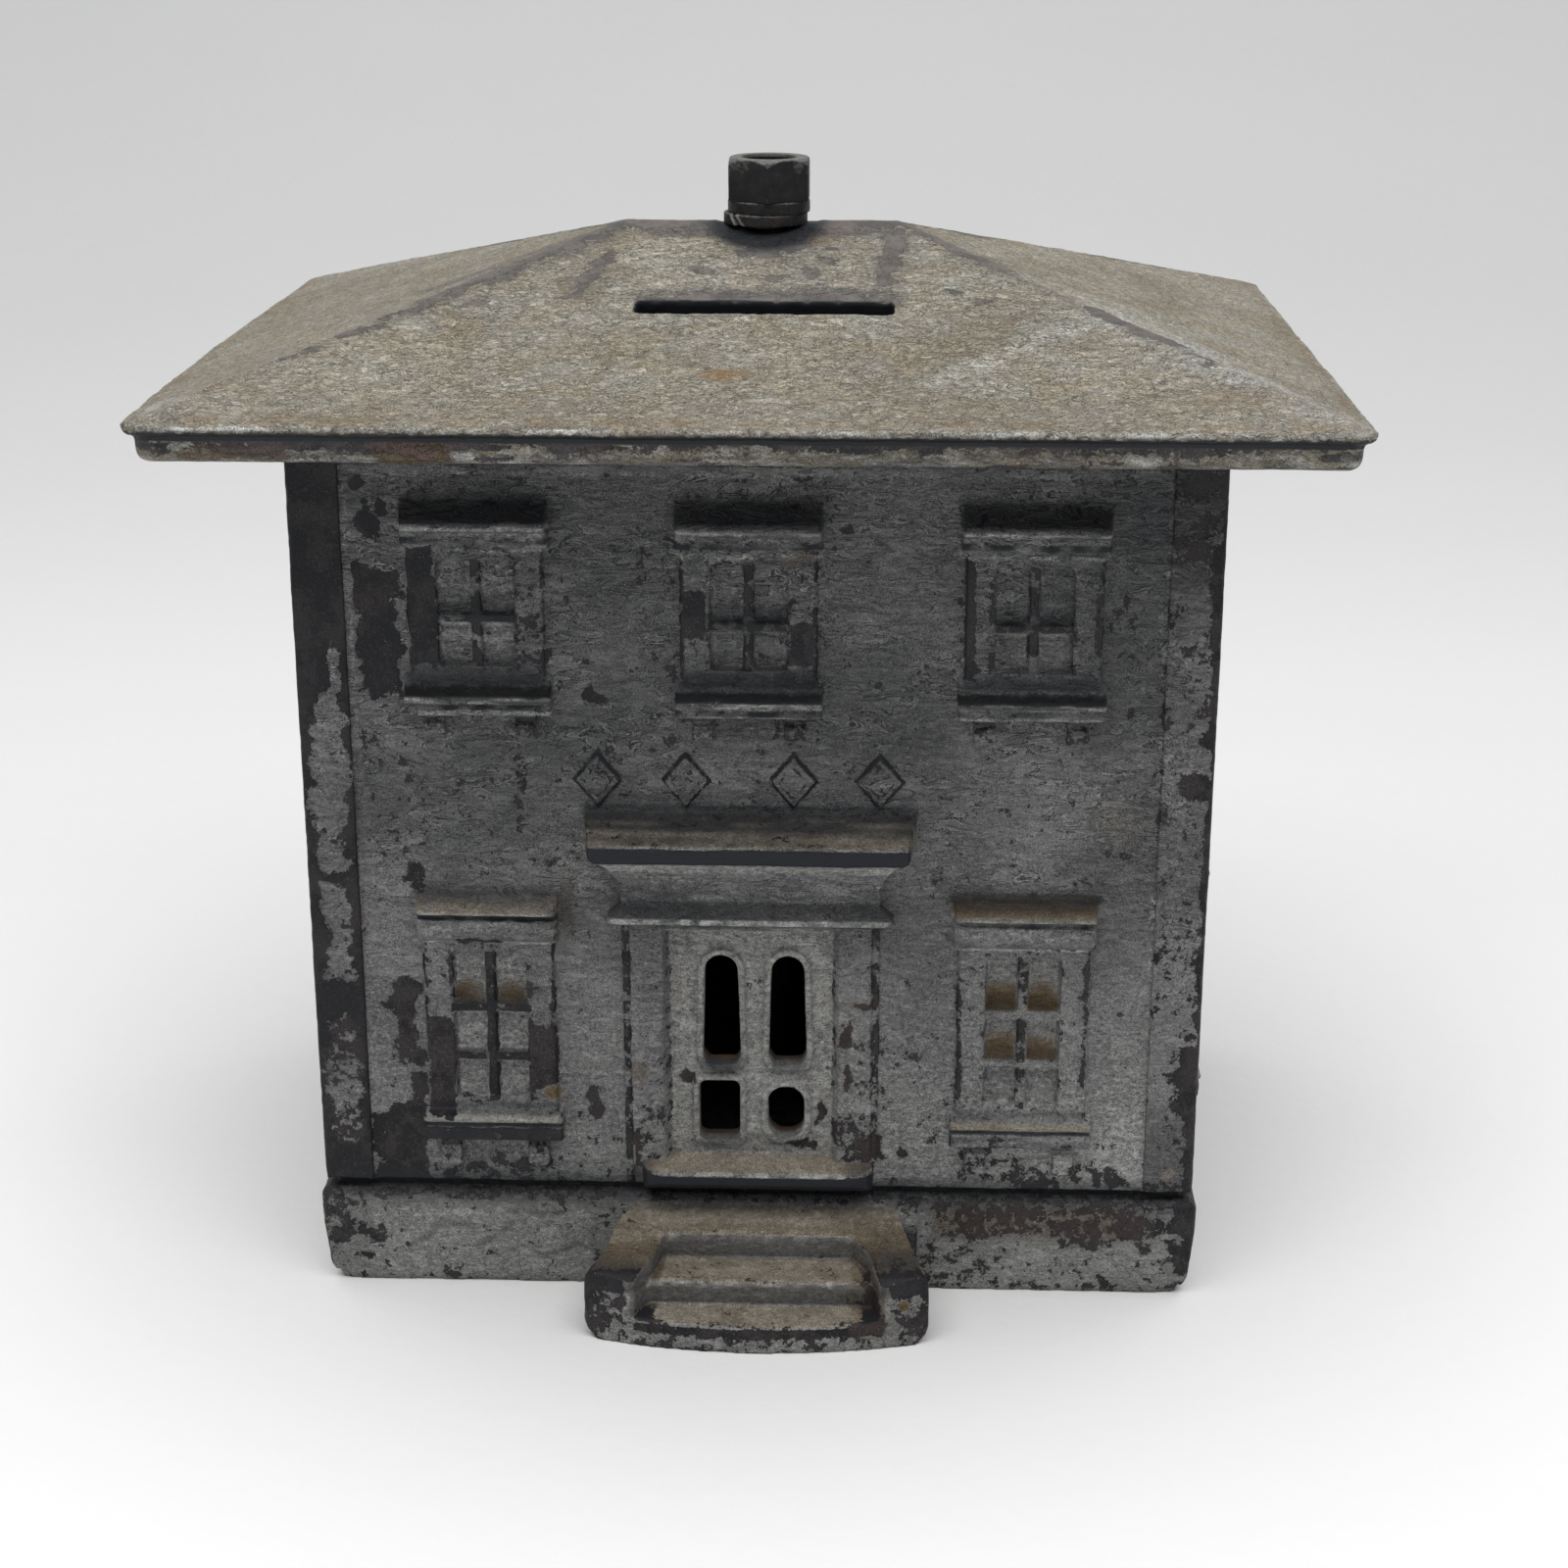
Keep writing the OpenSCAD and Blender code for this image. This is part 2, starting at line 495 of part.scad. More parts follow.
module roof() color([0.62, 0.58, 0.51]) difference() {
    union() {
        difference() {
            intersection() {
                translate([0, 200, 0]) rotate([90, 0, 0]) linear_extrude(400) hip_section(a_e, r_e, 0);
                translate([-200, 0, 0]) rotate([90, 0, 90]) linear_extrude(400) hip_section(b_e, 0.7, 0);
            }
            // hollow over the house, and the gutter-like hollow under the eaves
            intersection() {
                hip_inside();
                union() {
                    chamber_top();
                    difference() {
                        translate([-a_e + 5.4, -b_e + 5.4, top_z - 5]) cube([2 * (a_e - 5.4), 2 * (b_e - 5.4), 30]);
                        translate([-body_w / 2 - 1.4, -body_d / 2 - 1.4, top_z - 6])
                            cube([body_w + 2.8, body_d + 2.8, 40]);
                    }
                }
            }
        }
        // rim that drops inside the walls
        ring_box(in_x - rim_gap, in_y - rim_gap, rim_w, top_z - rim_h, top_z + 1);
        // boss round the bolt hole
        translate([0, 0, ridge_z - 9]) cylinder(r = 6.5, h = 7);
    }
    // coin slot, square to the front slope
    translate([0.5, -slot_down * cos(slope_y), ridge_z - slot_down * sin(slope_y)])
        rotate([slope_y, 0, 0]) cube([slot_l, slot_w, 14], center = true);
    // bolt hole and the flat seat under the washers
    cylinder(r = hole_r, h = 300);
    translate([0, 0, nut_seat]) cylinder(r = 6, h = 5);
}

// ---------------------------------------------------------------- fasteners
module through_bolt() color([0.22, 0.21, 0.21]) difference() {
    union() {
        translate([0, 0, plate_z - head_h + 0.8]) cylinder(r = head_d / 2, h = head_h - 0.8);
        translate([0, 0, plate_z - head_h]) cylinder(r1 = head_d / 2 - 0.8, r2 = head_d / 2, h = 0.8);
        translate([0, 0, plate_z - 1]) cylinder(r = bolt_r, h = bolt_top - plate_z + 1 - 0.5);
        translate([0, 0, bolt_top - 0.5]) cylinder(r1 = bolt_r, r2 = bolt_r - 0.5, h = 0.5);
    }
    translate([-head_d, -0.7, plate_z - head_h - 1]) cube([2 * head_d, 1.4, 2.6]);
}

module lock_washer() color([0.20, 0.20, 0.20]) translate([-0.2, 0, 0]) difference() {
    translate([0, 0, spring_z]) cylinder(r = 4.85, h = spring_t);
    translate([0, 0, spring_z - 1]) cylinder(r = wash_r, h = spring_t + 2);
    // slanting split at the front left
    rotate([0, 0, 225]) translate([0, 0, spring_z + spring_t / 2]) rotate([40, 0, 0])
        translate([0, -0.3, -4]) cube([9, 0.6, 8]);
}

module flat_washer() color([0.21, 0.21, 0.21]) translate([0.15, 0, 0]) difference() {
    translate([0, 0, washer_z]) cylinder(r = 4.75, h = washer_t);
    translate([0, 0, washer_z - 1]) cylinder(r = wash_r, h = washer_t + 2);
}

module hex_nut() color([0.19, 0.19, 0.20]) difference() {
    r = nut_af / 2;
    rc = r / cos(30);
    intersection() {
        translate([0, 0, nut_z]) rotate([0, 0, 30]) cylinder(r = rc, h = nut_h, $fn = 6);
        union() {
            translate([0, 0, nut_z]) cylinder(r = rc + 0.1, h = nut_h - 0.9);
            translate([0, 0, nut_z + nut_h - 0.9]) cylinder(r1 = rc + 0.1, r2 = r - 0.1, h = 0.9);
        }
    }
    translate([0, 0, nut_z - 1]) cylinder(r = nut_r, h = nut_h + 2);
    translate([0, 0, nut_z + nut_h - 0.4]) cylinder(r1 = nut_r, r2 = nut_r + 0.45, h = 0.4 + eps);
}

base();
front_wall();
back_wall();
left_wall();
right_wall();
roof();
through_bolt();
lock_washer();
flat_washer();
hex_nut();
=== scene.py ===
"""Looks of the cast iron house bank: softened, pitted castings in worn paint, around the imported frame.
Lengths in this script are millimetres until a mesh is written; the scene itself is in metres."""

import json
import math

import bmesh
import bpy
import numpy as np
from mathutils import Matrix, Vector


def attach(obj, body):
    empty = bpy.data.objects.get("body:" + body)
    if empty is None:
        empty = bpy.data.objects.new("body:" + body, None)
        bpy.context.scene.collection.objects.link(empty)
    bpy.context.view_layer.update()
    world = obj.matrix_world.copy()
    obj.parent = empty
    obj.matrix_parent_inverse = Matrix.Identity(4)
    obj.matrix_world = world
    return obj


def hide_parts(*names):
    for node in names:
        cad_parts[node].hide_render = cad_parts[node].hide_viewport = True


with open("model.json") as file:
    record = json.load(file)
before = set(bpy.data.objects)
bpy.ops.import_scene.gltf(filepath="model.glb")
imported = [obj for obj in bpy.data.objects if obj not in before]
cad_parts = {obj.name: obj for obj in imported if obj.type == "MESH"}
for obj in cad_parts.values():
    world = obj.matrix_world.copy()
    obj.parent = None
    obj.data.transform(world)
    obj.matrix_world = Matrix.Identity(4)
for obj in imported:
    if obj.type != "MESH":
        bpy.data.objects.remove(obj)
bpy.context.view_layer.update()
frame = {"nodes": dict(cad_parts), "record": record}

MM = 0.001
COARSE = 1.0

# Levels of the part, as in part.scad
FIELD_Y, FACE_Y = 37.3, 37.8
IN_X, IN_Y = 47.0, 33.9
SEAT_Z, TOP_Z, LIP_Z, RIDGE_Z = 13.1, 99.7, 103.8, 118.2
A_E, B_E, R_E = 63.0, 51.0, 15.2
RIDGE_L, RIDGE_R = 16.7, 14.7  # how far the worn ridge runs to either side
DOOR_X = -0.55


# ---------------------------------------------------------------- numbers on points
def step(a, b, x):
    t = np.clip((x - a) / (b - a), 0.0, 1.0)
    return t * t * (3 - 2 * t)


def lattice(ix, iy, iz, seed):
    h = ix * np.uint32(374761393) + iy * np.uint32(668265263) + iz * np.uint32(2246822519)
    h = h + np.uint32((seed * 3266489917 + 97) & 0xFFFFFFFF)
    h = (h ^ (h >> np.uint32(13))) * np.uint32(1274126177)
    h = h ^ (h >> np.uint32(16))
    return h.astype(np.float32) * np.float32(2.0 / 4294967295.0) - np.float32(1.0)


def noise(p, size, seed=0):
    """Smooth noise from -1 to 1 with features of about that size."""
    q = p / size + 1000.0
    i = np.floor(q)
    f = (q - i).astype(np.float32)
    u = f * f * f * (f * (f * 6 - 15) + 10)
    i = i.astype(np.int64).astype(np.uint32)
    one = np.uint32(1)
    out = np.zeros(len(p), np.float32)
    for dx in (0, 1):
        wx = u[:, 0] if dx else 1 - u[:, 0]
        for dy in (0, 1):
            wy = u[:, 1] if dy else 1 - u[:, 1]
            for dz in (0, 1):
                wz = u[:, 2] if dz else 1 - u[:, 2]
                out += wx * wy * wz * lattice(i[:, 0] + one * dx, i[:, 1] + one * dy, i[:, 2] + one * dz, seed)
    return out


def fbm(p, size, octaves, seed=0, gain=0.5):
    out, amp, total = np.zeros(len(p), np.float32), 1.0, 0.0
    for k in range(octaves):
        out += amp * noise(p, size / 2**k, seed + 7 * k)
        total += amp
        amp *= gain
    return out / total


def rect(u, v, u0, u1, v0, v1, soft):
    """1 inside a rectangle, falling to 0 outside; 0.5 on its border."""
    d = np.maximum(np.maximum(u0 - u, u - u1), np.maximum(v0 - v, v - v1))
    return 1 - step(-soft, soft, d)


def spot(u, v, cu, cv, ru, rv, soft=0.5):
    d = np.sqrt(((u - cu) / ru) ** 2 + ((v - cv) / rv) ** 2)
    return 1 - step(1 - soft, 1 + soft, d)


def streak(u, v, a, b, width, soft=0.6):
    """1 on a line from a to b, 0.5 at width from it."""
    a, b = np.array(a, float), np.array(b, float)
    d = b - a
    t = np.clip(((u - a[0]) * d[0] + (v - a[1]) * d[1]) / max(d @ d, 1e-9), 0, 1)
    r = np.hypot(u - a[0] - t * d[0], v - a[1] - t * d[1])
    return 1 - step(width * (1 - soft), width * (1 + soft), r)


def band(x, a, b, soft):
    return step(a - soft, a + soft, x) * (1 - step(b - soft, b + soft, x))


# ---------------------------------------------------------------- meshes
def points(me):
    co = np.empty(len(me.vertices) * 3, np.float32)
    me.vertices.foreach_get("co", co)
    return co.reshape(-1, 3).astype(np.float64) * 1000.0


def place(me, p):
    me.vertices.foreach_set("co", (p * MM).astype(np.float32).ravel())
    me.update()


def normals(me):
    n = np.empty(len(me.vertices) * 3, np.float32)
    me.vertex_normals.foreach_get("vector", n)
    return n.reshape(-1, 3)


def write(me, name, values):
    a = me.attributes.get(name) or me.attributes.new(name, "FLOAT", "POINT")
    a.data.foreach_set("value", np.asarray(values, np.float32))


def read(me, name):
    v = np.empty(len(me.vertices), np.float32)
    me.attributes[name].data.foreach_get("value", v)
    return v


def cad_mesh(node):
    me = frame["nodes"][node].data.copy()
    bm = bmesh.new()
    bm.from_mesh(me)
    bmesh.ops.remove_doubles(bm, verts=bm.verts, dist=1e-7)
    bm.to_mesh(me)
    bm.free()
    me.materials.clear()
    return me


def evaluate(jobs):
    """jobs is {key: (mesh, [(modifier, {setting: value})])}. All are worked out together, and come back as plain meshes."""
    made = {}
    for key, (me, mods) in jobs.items():
        ob = bpy.data.objects.new(f"job_{key}", me)
        bpy.context.scene.collection.objects.link(ob)
        for kind, settings in mods:
            m = ob.modifiers.new(kind, kind)
            for k, v in settings.items():
                setattr(m, k, v)
        made[key] = ob
    bpy.context.view_layer.update()
    dg = bpy.context.evaluated_depsgraph_get()
    out = {k: bpy.data.meshes.new_from_object(ob.evaluated_get(dg)) for k, ob in made.items()}
    for ob in made.values():
        bpy.data.objects.remove(ob)
    return out


# ---------------------------------------------------------------- castings
# Cell of the remesh in mm, share of the faces kept, height of the cast roughness
CAST = {
    "front_wall": (0.18, 0.42, 1.0),
    "left_wall": (0.30, 0.4, 1.0),
    "right_wall": (0.30, 0.4, 1.0),
    "back_wall": (0.32, 0.4, 1.0),
    "base": (0.25, 0.42, 1.15),
    "roof": (0.28, 0.4, 1.2),
    "lock_washer": (0.13, 1.0, 0.35),
    "flat_washer": (0.13, 1.0, 0.35),
    "hex_nut": (0.12, 1.0, 0.35),
}


def castings():
    sources = {n: cad_mesh(n) for n in CAST}
    jobs = {}
    for n, (cell, keep, rough) in CAST.items():
        cut = ("REMESH", {"mode": "VOXEL", "voxel_size": cell * COARSE * MM, "use_smooth_shade": True})
        turns = 3 if n == "roof" else 2
        jobs[n + ".fine"] = (sources[n], [cut, ("SMOOTH", {"factor": 0.5, "iterations": turns})])
        jobs[n + ".soft"] = (sources[n], [cut, ("SMOOTH", {"factor": 0.5, "iterations": 26})])
    done = evaluate(jobs)
    again = {}
    for n, (cell, keep, rough) in CAST.items():
        me = done[n + ".fine"]
        p, q, nr = points(me), points(done[n + ".soft"]), normals(me)
        bpy.data.meshes.remove(done[n + ".soft"])
        curve = np.einsum("ij,ij->i", p - q, nr).astype(np.float32)  # over 0 on edges, under 0 in corners
        p = weathered(n, p, nr, curve, rough)
        place(me, p)
        write(me, "curve", curve)
        keep = min(1.0, keep * COARSE)
        mods = [("DECIMATE", {"decimate_type": "COLLAPSE", "ratio": keep})] if keep < 1 else []
        again[n] = (me, mods)
    return evaluate(again)


def weathered(n, p, nr, curve, rough):
    """The casting's own unevenness, chipped edges and the nut's thread."""
    q = p.astype(np.float32)
    high = 0.055 * fbm(q, 9.0, 2, 3) + 0.030 * fbm(q, 2.2, 2, 17) + 0.016 * noise(q, 0.8, 29)
    worn = step(0.03, 0.16, curve)
    chips = np.clip(fbm(q, 1.7, 3, 41) - 0.05, 0, None)
    high = high - worn * (0.03 + 0.34 * chips)
    if n == "roof":
        x, y, z = p[:, 0], p[:, 1], p[:, 2]
        rim = step(2.6, 0.6, np.minimum(A_E - np.abs(x), B_E - np.abs(y)))
        high += rim * 0.10 * fbm(q, 5.0, 3, 57)
        # nicks along the lip
        lip = step(1.2, 0.4, np.minimum(A_E - np.abs(x), B_E - np.abs(y))) * step(102.7, 103.1, z)
        high -= lip * 0.22 * np.clip(fbm(q, 0.9, 3, 63) - 0.05, 0, None)
        # shallow alligatored paint, long along the eaves
        flat = np.c_[q[:, 0] * 0.3, q[:, 1] * 1.0, q[:, 2]]
        side = np.abs(nr[:, 0]) > np.abs(nr[:, 1])
        flat[side] = np.c_[q[side, 0], q[side, 1] * 0.3, q[side, 2]]
        high += 0.028 * noise(flat.astype(np.float32), 0.8, 71) * (nr[:, 2] > 0.5)
    if n == "hex_nut":
        x, y, z = p[:, 0], p[:, 1], p[:, 2]
        r = np.hypot(x, y)
        inside = step(3.35, 3.1, r)
        high = high + np.where((r < 3.6) & (z > 124.2), -0.30 * step(124.2, 125.2, z), 0.0) * np.where(nr[:, 2] < 0.5, 1.0, 0.0)
        turn = (z - np.arctan2(y, x) / (2 * math.pi) * 1.0583) / 1.0583
        tri = 1 - 2 * np.abs(turn - np.floor(turn) - 0.5)
        high = high - inside * 0.26 * (tri - 0.15) * (1 - np.abs(nr[:, 2]))
    p = p + nr * (high * rough)[:, None]
    if n == "roof":
        p = cast_roof(p, nr)
    if n in ("hex_nut", "flat_washer", "lock_washer"):
        p[:, 0] += {"hex_nut": 0.06, "flat_washer": -0.14, "lock_washer": -0.18}[n]
    if n == "base":
        p = cast_base(p)
        # it stands flat on its rim
        low = 1 - step(0.15, 1.0, p[:, 2])
        p[:, 2] = np.where(p[:, 2] < 0.35, p[:, 2] * 0.25, p[:, 2])
        outer = ((np.abs(p[:, 1]) > 36.2) & (np.abs(p[:, 0]) < 46.5) & ((p[:, 1] > 0) | (np.abs(p[:, 0] - 0.45) > 21)))
        p[:, :2] += (nr[:, :2] * (low * 0.22 * outer)[:, None]).astype(np.float64)
    if n == "front_wall":
        p[:, 2] -= glazing_drop(p[:, 0], p[:, 2]) * (p[:, 1] < -IN_Y)
    # the plates' edges meet tightly at the corner seams
    x = p[:, 0]
    if n in ("front_wall", "back_wall"):
        p[:, 0] += np.sign(x) * 0.36 * step(43.7, 44.1, np.abs(x))
        y = p[:, 1]
        flat = step(43.4, 43.9, np.abs(x)) * (np.abs(y) > FIELD_Y - 0.6)
        p[:, 1] += flat * (np.sign(y) * (FIELD_Y + 0.03 * noise(p.astype(np.float32), 1.5, 77)) - y)
    if n in ("left_wall", "right_wall"):
        at_seam = (1 - step(44.6, 45.1, np.abs(x))) * (np.abs(p[:, 1]) > IN_Y + 0.6)
        p[:, 0] -= np.sign(x) * 0.08 * at_seam
    return p


def glazing_drop(x, z):
    """How far the upper windows' glazing sits below the drawn one."""
    drop = np.zeros(len(x))
    for cx, by, low, high in ((-30.0, 0.45, 79.5, 82.5), (-0.6, 1.15, 77.0, 85.5), (29.9, 1.1, 77.0, 85.5)):
        drop += by * step(6.4, 5.0, np.abs(x - cx)) * step(74.4, low, z) * step(88.0, high, z)
    return drop


def undrop(x, z):
    back = z.copy()
    for _ in range(4):
        back = z + glazing_drop(x, back)
    return back


def rounded(a, b, ra):
    """Square corner to round one: a, b count from the corner's centre outwards."""
    at = (a > 0) & (b > 0) & (ra > 0.05)
    by = np.where(at, np.maximum(a, b) / np.maximum(np.hypot(a, b), 1e-6), 1.0)
    return at, a * by, b * by


def flare(sx, y, z):
    """How much further out the walls of the treads' well stand than in the drawing, mostly on the right."""
    by = np.where(sx > 0, 1.15 * step(41.6, 46.5, -y), 0.85 * step(46.0, 50.5, -y))
    return np.sign(sx) * by * np.interp(np.abs(sx), [0.0, 11.0, 14.2, 18.4], [0.0, 1.0, 1.0, 0.0]) * step(2.2, 3.3, z)


def unflare(sx, y, z):
    back = sx.copy()
    for _ in range(6):
        back = sx - flare(back, y, z)
    return back


def cast_base(p):
    """Well of the treads wider, foot and shoulders of the cheeks and the plinth's lower ends rounder than in the drawing."""
    p = p.copy()
    sx = p[:, 0] - 0.45
    out = flare(sx, p[:, 1], p[:, 2]) * (np.abs(sx) < 21) * (-p[:, 1] > 41)
    bow = 13.2 - np.sqrt(66.0 ** 2 - np.clip(sx, -21, 21) ** 2)
    bowed = 13.2 - np.sqrt(66.0 ** 2 - np.clip(sx + out, -21, 21) ** 2)
    p[:, 1] += (bowed - bow) * (1 - step(0.4, 2.4, p[:, 1] - bow)) * (np.abs(out) > 0)
    p[:, 0] += out
    x, y = p[:, 0].copy(), p[:, 1].copy()
    sx = x - 0.45
    half = np.interp(-y, [38.2, 39.6, 48.6, 49.6, 50.8, 51.9], [15.0, 16.0, 19.3, 19.45, 19.1, 18.2])
    top = np.interp(-y, [38.1, 39.2, 42.3, 43.0, 49.4, 50.6, 51.6], [11.1, 10.5, 9.2, 9.0, 8.1, 7.6, 6.7])
    grow = step(41.0, 46.0, -y) * (np.abs(sx) < 21)
    r = 2.3 * grow
    at, a, b = rounded(np.abs(sx) - (half - r), r - p[:, 2], r)
    p[:, 0] = np.where(at, 0.45 + np.sign(sx) * (half - r + a), p[:, 0])
    p[:, 2] = np.where(at, r - b, p[:, 2])
    r = 1.5 * grow
    at, a, b = rounded(np.abs(sx) - (half - r), p[:, 2] - (top - r), r)
    p[:, 0] = np.where(at, 0.45 + np.sign(sx) * (half - r + a), p[:, 0])
    p[:, 2] = np.where(at, top - r + b, p[:, 2])
    r = np.full(len(p), 2.4)
    at, a, b = rounded(np.abs(x) - (49.95 - r), r - p[:, 2], r)
    at &= np.abs(y) < 38.5
    p[:, 0] = np.where(at, np.sign(x) * (49.95 - r + a), p[:, 0])
    p[:, 2] = np.where(at, r - b, p[:, 2])
    return p


def eave_shift(x, y):
    """How far the cast eaves lie from the drawn ones along x."""
    bulge = np.where(y < 0, 1 - np.clip(-y / 52.0, 0, 1) ** 2.5, 1 - 0.62 * np.clip(y / 52.0, 0, 1) ** 2)
    return -(0.86 + 1.0 * bulge) * step(20, 62, -x) + 0.18 * step(20, 62, x)


def cast_roof(p, nr):
    """The real casting isn't quite regular: rounded eave corners, a heavier lip, ridge and eaves a little to the left."""
    p = p.copy()
    x, y, z = p[:, 0].copy(), p[:, 1].copy(), p[:, 2].copy()
    # lip hangs lower
    lipd = np.minimum(A_E - np.abs(x), B_E - np.abs(y))
    p[:, 2] -= 0.32 * (1 - step(0.55, 1.15, lipd)) * (1 - step(103.35, 103.6, z)) * step(102.4, 103.0, z)
    # corners
    for r, low, high in ((2.7, 90.0, 130.0),):
        dx, dy = np.abs(x) - (A_E - r), np.abs(y) - (B_E - r)
        at = (dx > 0) & (dy > 0) & (z > low) & (z < high)
        size, far = np.maximum(dx, dy), np.hypot(dx, dy)
        by = np.where(at, size / np.maximum(far, 1e-6), 1.0)
        p[:, 0] = np.where(at, np.sign(x) * (A_E - r + dx * by), x)
        p[:, 1] = np.where(at, np.sign(y) * (B_E - r + dy * by), y)
    # ridge ends
    top = step(0.45, 0.75, nr[:, 2]) * step(103.7, 104.4, z)
    ahead = RIDGE_Z - np.maximum(np.abs(y) - 0.7, 0) * 14.4 / 50.3
    for sign, end in ((-1, RIDGE_L), (1, RIDGE_R)):
        u = x * sign
        old = RIDGE_Z - np.maximum(u - R_E, 0) * 14.4 / (A_E - R_E)
        new = RIDGE_Z - np.maximum(u - end, 0) * 14.4 / (A_E - end)
        p[:, 2] += (np.minimum(ahead, new) - np.minimum(ahead, old)) * top * (u > 4)
    p[:, 0] += eave_shift(x, y)
    return p


# ---------------------------------------------------------------- wear, as numbers on the points
def warped(q, seed=0, amount=1.0):
    wx = 0.45 * noise(q, 1.3, 101 + seed) + 0.8 * noise(q, 3.1, 103 + seed)
    wz = 0.45 * noise(q, 1.3, 107 + seed) + 0.8 * noise(q, 3.1, 109 + seed)
    return wx * amount, wz * amount


def most(*fields):
    out = fields[0]
    for f in fields[1:]:
        out = np.maximum(out, f)
    return out


KINDS = ("wear", "soot", "dust", "rust", "pale", "thin", "inner")


class Marks:
    """What has happened to the paint at each point, and the painted shade and painted highlights laid over it."""

    def __init__(self, n):
        self.n = n
        for k in KINDS:
            setattr(self, k, np.zeros(n, np.float64))

    def up(self, kind, field, amount=1.0):
        setattr(self, kind, np.maximum(getattr(self, kind), field * amount))

    def down(self, kind, field, amount=1.0):
        setattr(self, kind, getattr(self, kind) * (1 - field * amount))


def window_marks(k, x, z, p, q, cx, upper, lively, base_wear):
    """Wear of one window. x, z on the wall, p how far out of the field. lively is {part: amount}."""
    g = lambda key, other: lively.get(key, other)
    u = x - cx
    z0, z1 = (74.0, 88.4) if upper else (22.3, 43.2)
    near = rect(u, z, -9.5, 9.5, z0 - 8, z1 + 8, 0.5)
    broken = np.clip(0.75 + 0.9 * noise(q * np.array([0.6, 0.6, 1.0], np.float32), 1.1, 131), 0, 1)
    wob = 0.12 * noise(q, 1.6, 133)
    zz = z + wob - g("shift", 0.0)
    mottled = np.clip((0.74 if upper else 1.0) + (0.60 if upper else 0.40) * noise(q, 0.8, 141), 0, 1)
    k.up("wear", near, base_wear)
    # glazing bars: crisp, rubbed bare
    bars = band(u + wob, -0.6, 0.6, 0.12) * rect(u, z, -5, 5, z0 + 1.2, z1 - 1.3, 0.2)
    k.up("wear", bars * mottled, g("bars", 0.9))
    k.up("soot", bars * (1 - mottled), 0.4)
    heights = (81.05,) if upper else (29.07, 35.03)
    cross = np.zeros_like(u)
    for zc in heights:
        cross = np.maximum(cross, band(z + wob, zc - 0.50, zc + 0.45, 0.12) * (np.abs(u) < 4.5) * mottled)
        # over each cross bar a dark line of painted shade with dirt; the light bands on the panes just below and just
        # above the bar are painted highlights
        k.up("soot", band(z + wob, zc + 0.22, zc + 0.70, 0.12) * (np.abs(u) < 4.3) * np.clip(mottled + 0.15, 0, 1), g("cross_top", 1.1 if upper else 0.75))
        k.up("pale", band(z + wob, zc - 1.2, zc - 0.62, 0.15) * (np.abs(u) < 4.1) * (np.abs(u) > 0.7), g("pane_top", 0.5) + 0.15)
        k.up("pale", band(z + wob, zc + 0.85, zc + 1.15, 0.1) * (np.abs(u) < 4.1) * (np.abs(u) > 0.7) * broken, 0.5)
    k.up("wear", cross, g("cross", 0.85))
    # sash edges beside the panes, and the frame's outer edge
    for s in (-1, 1):
        k.up("wear", band(u * s, 4.15, 4.75, 0.12) * rect(u, z, -9, 9, z0 + 1, z1 - 1, 0.2), g("sash", 0.45))
        k.up("wear", band(u * s, 6.9, 7.5, 0.15) * rect(u, z, -9, 9, z0, z1, 0.2), g("edge", 0.5))
    panes = rect(u, z, -4.0, 4.0, z0 + 1.8, z1 - 1.7, 0.2) * (1 - most(bars, cross))
    k.up("pale", panes, g("panes", 0.3))
    # lighter edges of the panes: painted highlight
    for s in (-1, 1):
        k.up("pale", panes * most(band(u * s, 3.55, 4.05, 0.12), band(u * s, 0.62, 1.0, 0.12)) * broken, g("panes", 0.3) + 0.3)
    k.down("wear", panes, 0.45)
    if upper:
        zs = zz + 0.35 * noise(q, 1.5, 147)
        # hood top: bare iron and grime, darkened further with painted shade of the eaves
        k.up("soot", rect(u, zz, -8.1, 8.1, 91.22, 93.2, 0.25), 0.88)
        k.up("soot", rect(u, zs, -8.1, 8.1, 91.6, 93.9, 0.6), 0.85)
        k.up("soot", rect(u, zs, -8.4, 8.4, 90.6, 95.0, 1.2) * (zz > 91.2), 0.74)
        grainy = noise(q * np.array([0.14, 0.14, 1.0], np.float32), 0.42, 137)
        bumpy = noise(q * np.array([0.6, 0.6, 0.3], np.float32), 0.9, 143)
        lip = rect(u, zz, -8.1, 8.1, 90.05, 91.15, 0.1)
        k.down("wear", lip, 0.8)
        # light lines on the lip, at the frame's top edge and on the panes' tops are painted highlights; the dark lines
        # under the lip and the dark row below it are painted shade with some dirt
        k.up("pale", rect(u, zz, -8.1, 8.1, 90.48, 91.0, 0.08) * np.clip(0.8 + 0.6 * bumpy, 0, 1), 1.0)
        k.up("soot", rect(u, zz, -8.0, 8.0, 90.18, 90.42, 0.08), 0.45)
        fascia = rect(u, zz, -8.0, 8.0, 88.2, 90.2, 0.12)
        k.up("pale", fascia * np.clip(0.35 - 1.2 * grainy, 0, 1), 0.6)
        k.up("soot", fascia * np.clip(-0.2 + 1.2 * grainy, 0, 1), 0.5)
        dark_row = band(zz + 0.30 * bumpy, 88.85, 89.75, 0.14) * (np.abs(u) < 8.0)
        k.up("soot", dark_row * np.clip(g("under_lip", 0.5) * 2.0 - 0.5 + 0.9 * bumpy + 0.4 * step(5.5, 7.5, np.abs(u)), 0, 1.05))
        k.up("pale", rect(u, zz, -8.0, 8.0, 87.85, 88.35, 0.1) * np.clip(0.7 + 0.7 * bumpy, 0, 1), 0.95)
        k.down("wear", rect(u, zz, -8.0, 8.0, 87.85, 88.35, 0.1), 0.7)
        k.up("soot", rect(u, zz, -7.6, 7.6, 87.35, 87.6, 0.1) * broken, 0.6)
        k.up("pale", rect(u, zz, -5, 5, 86.4, 86.95, 0.15) * broken, g("panes", 0.3) + 0.25)
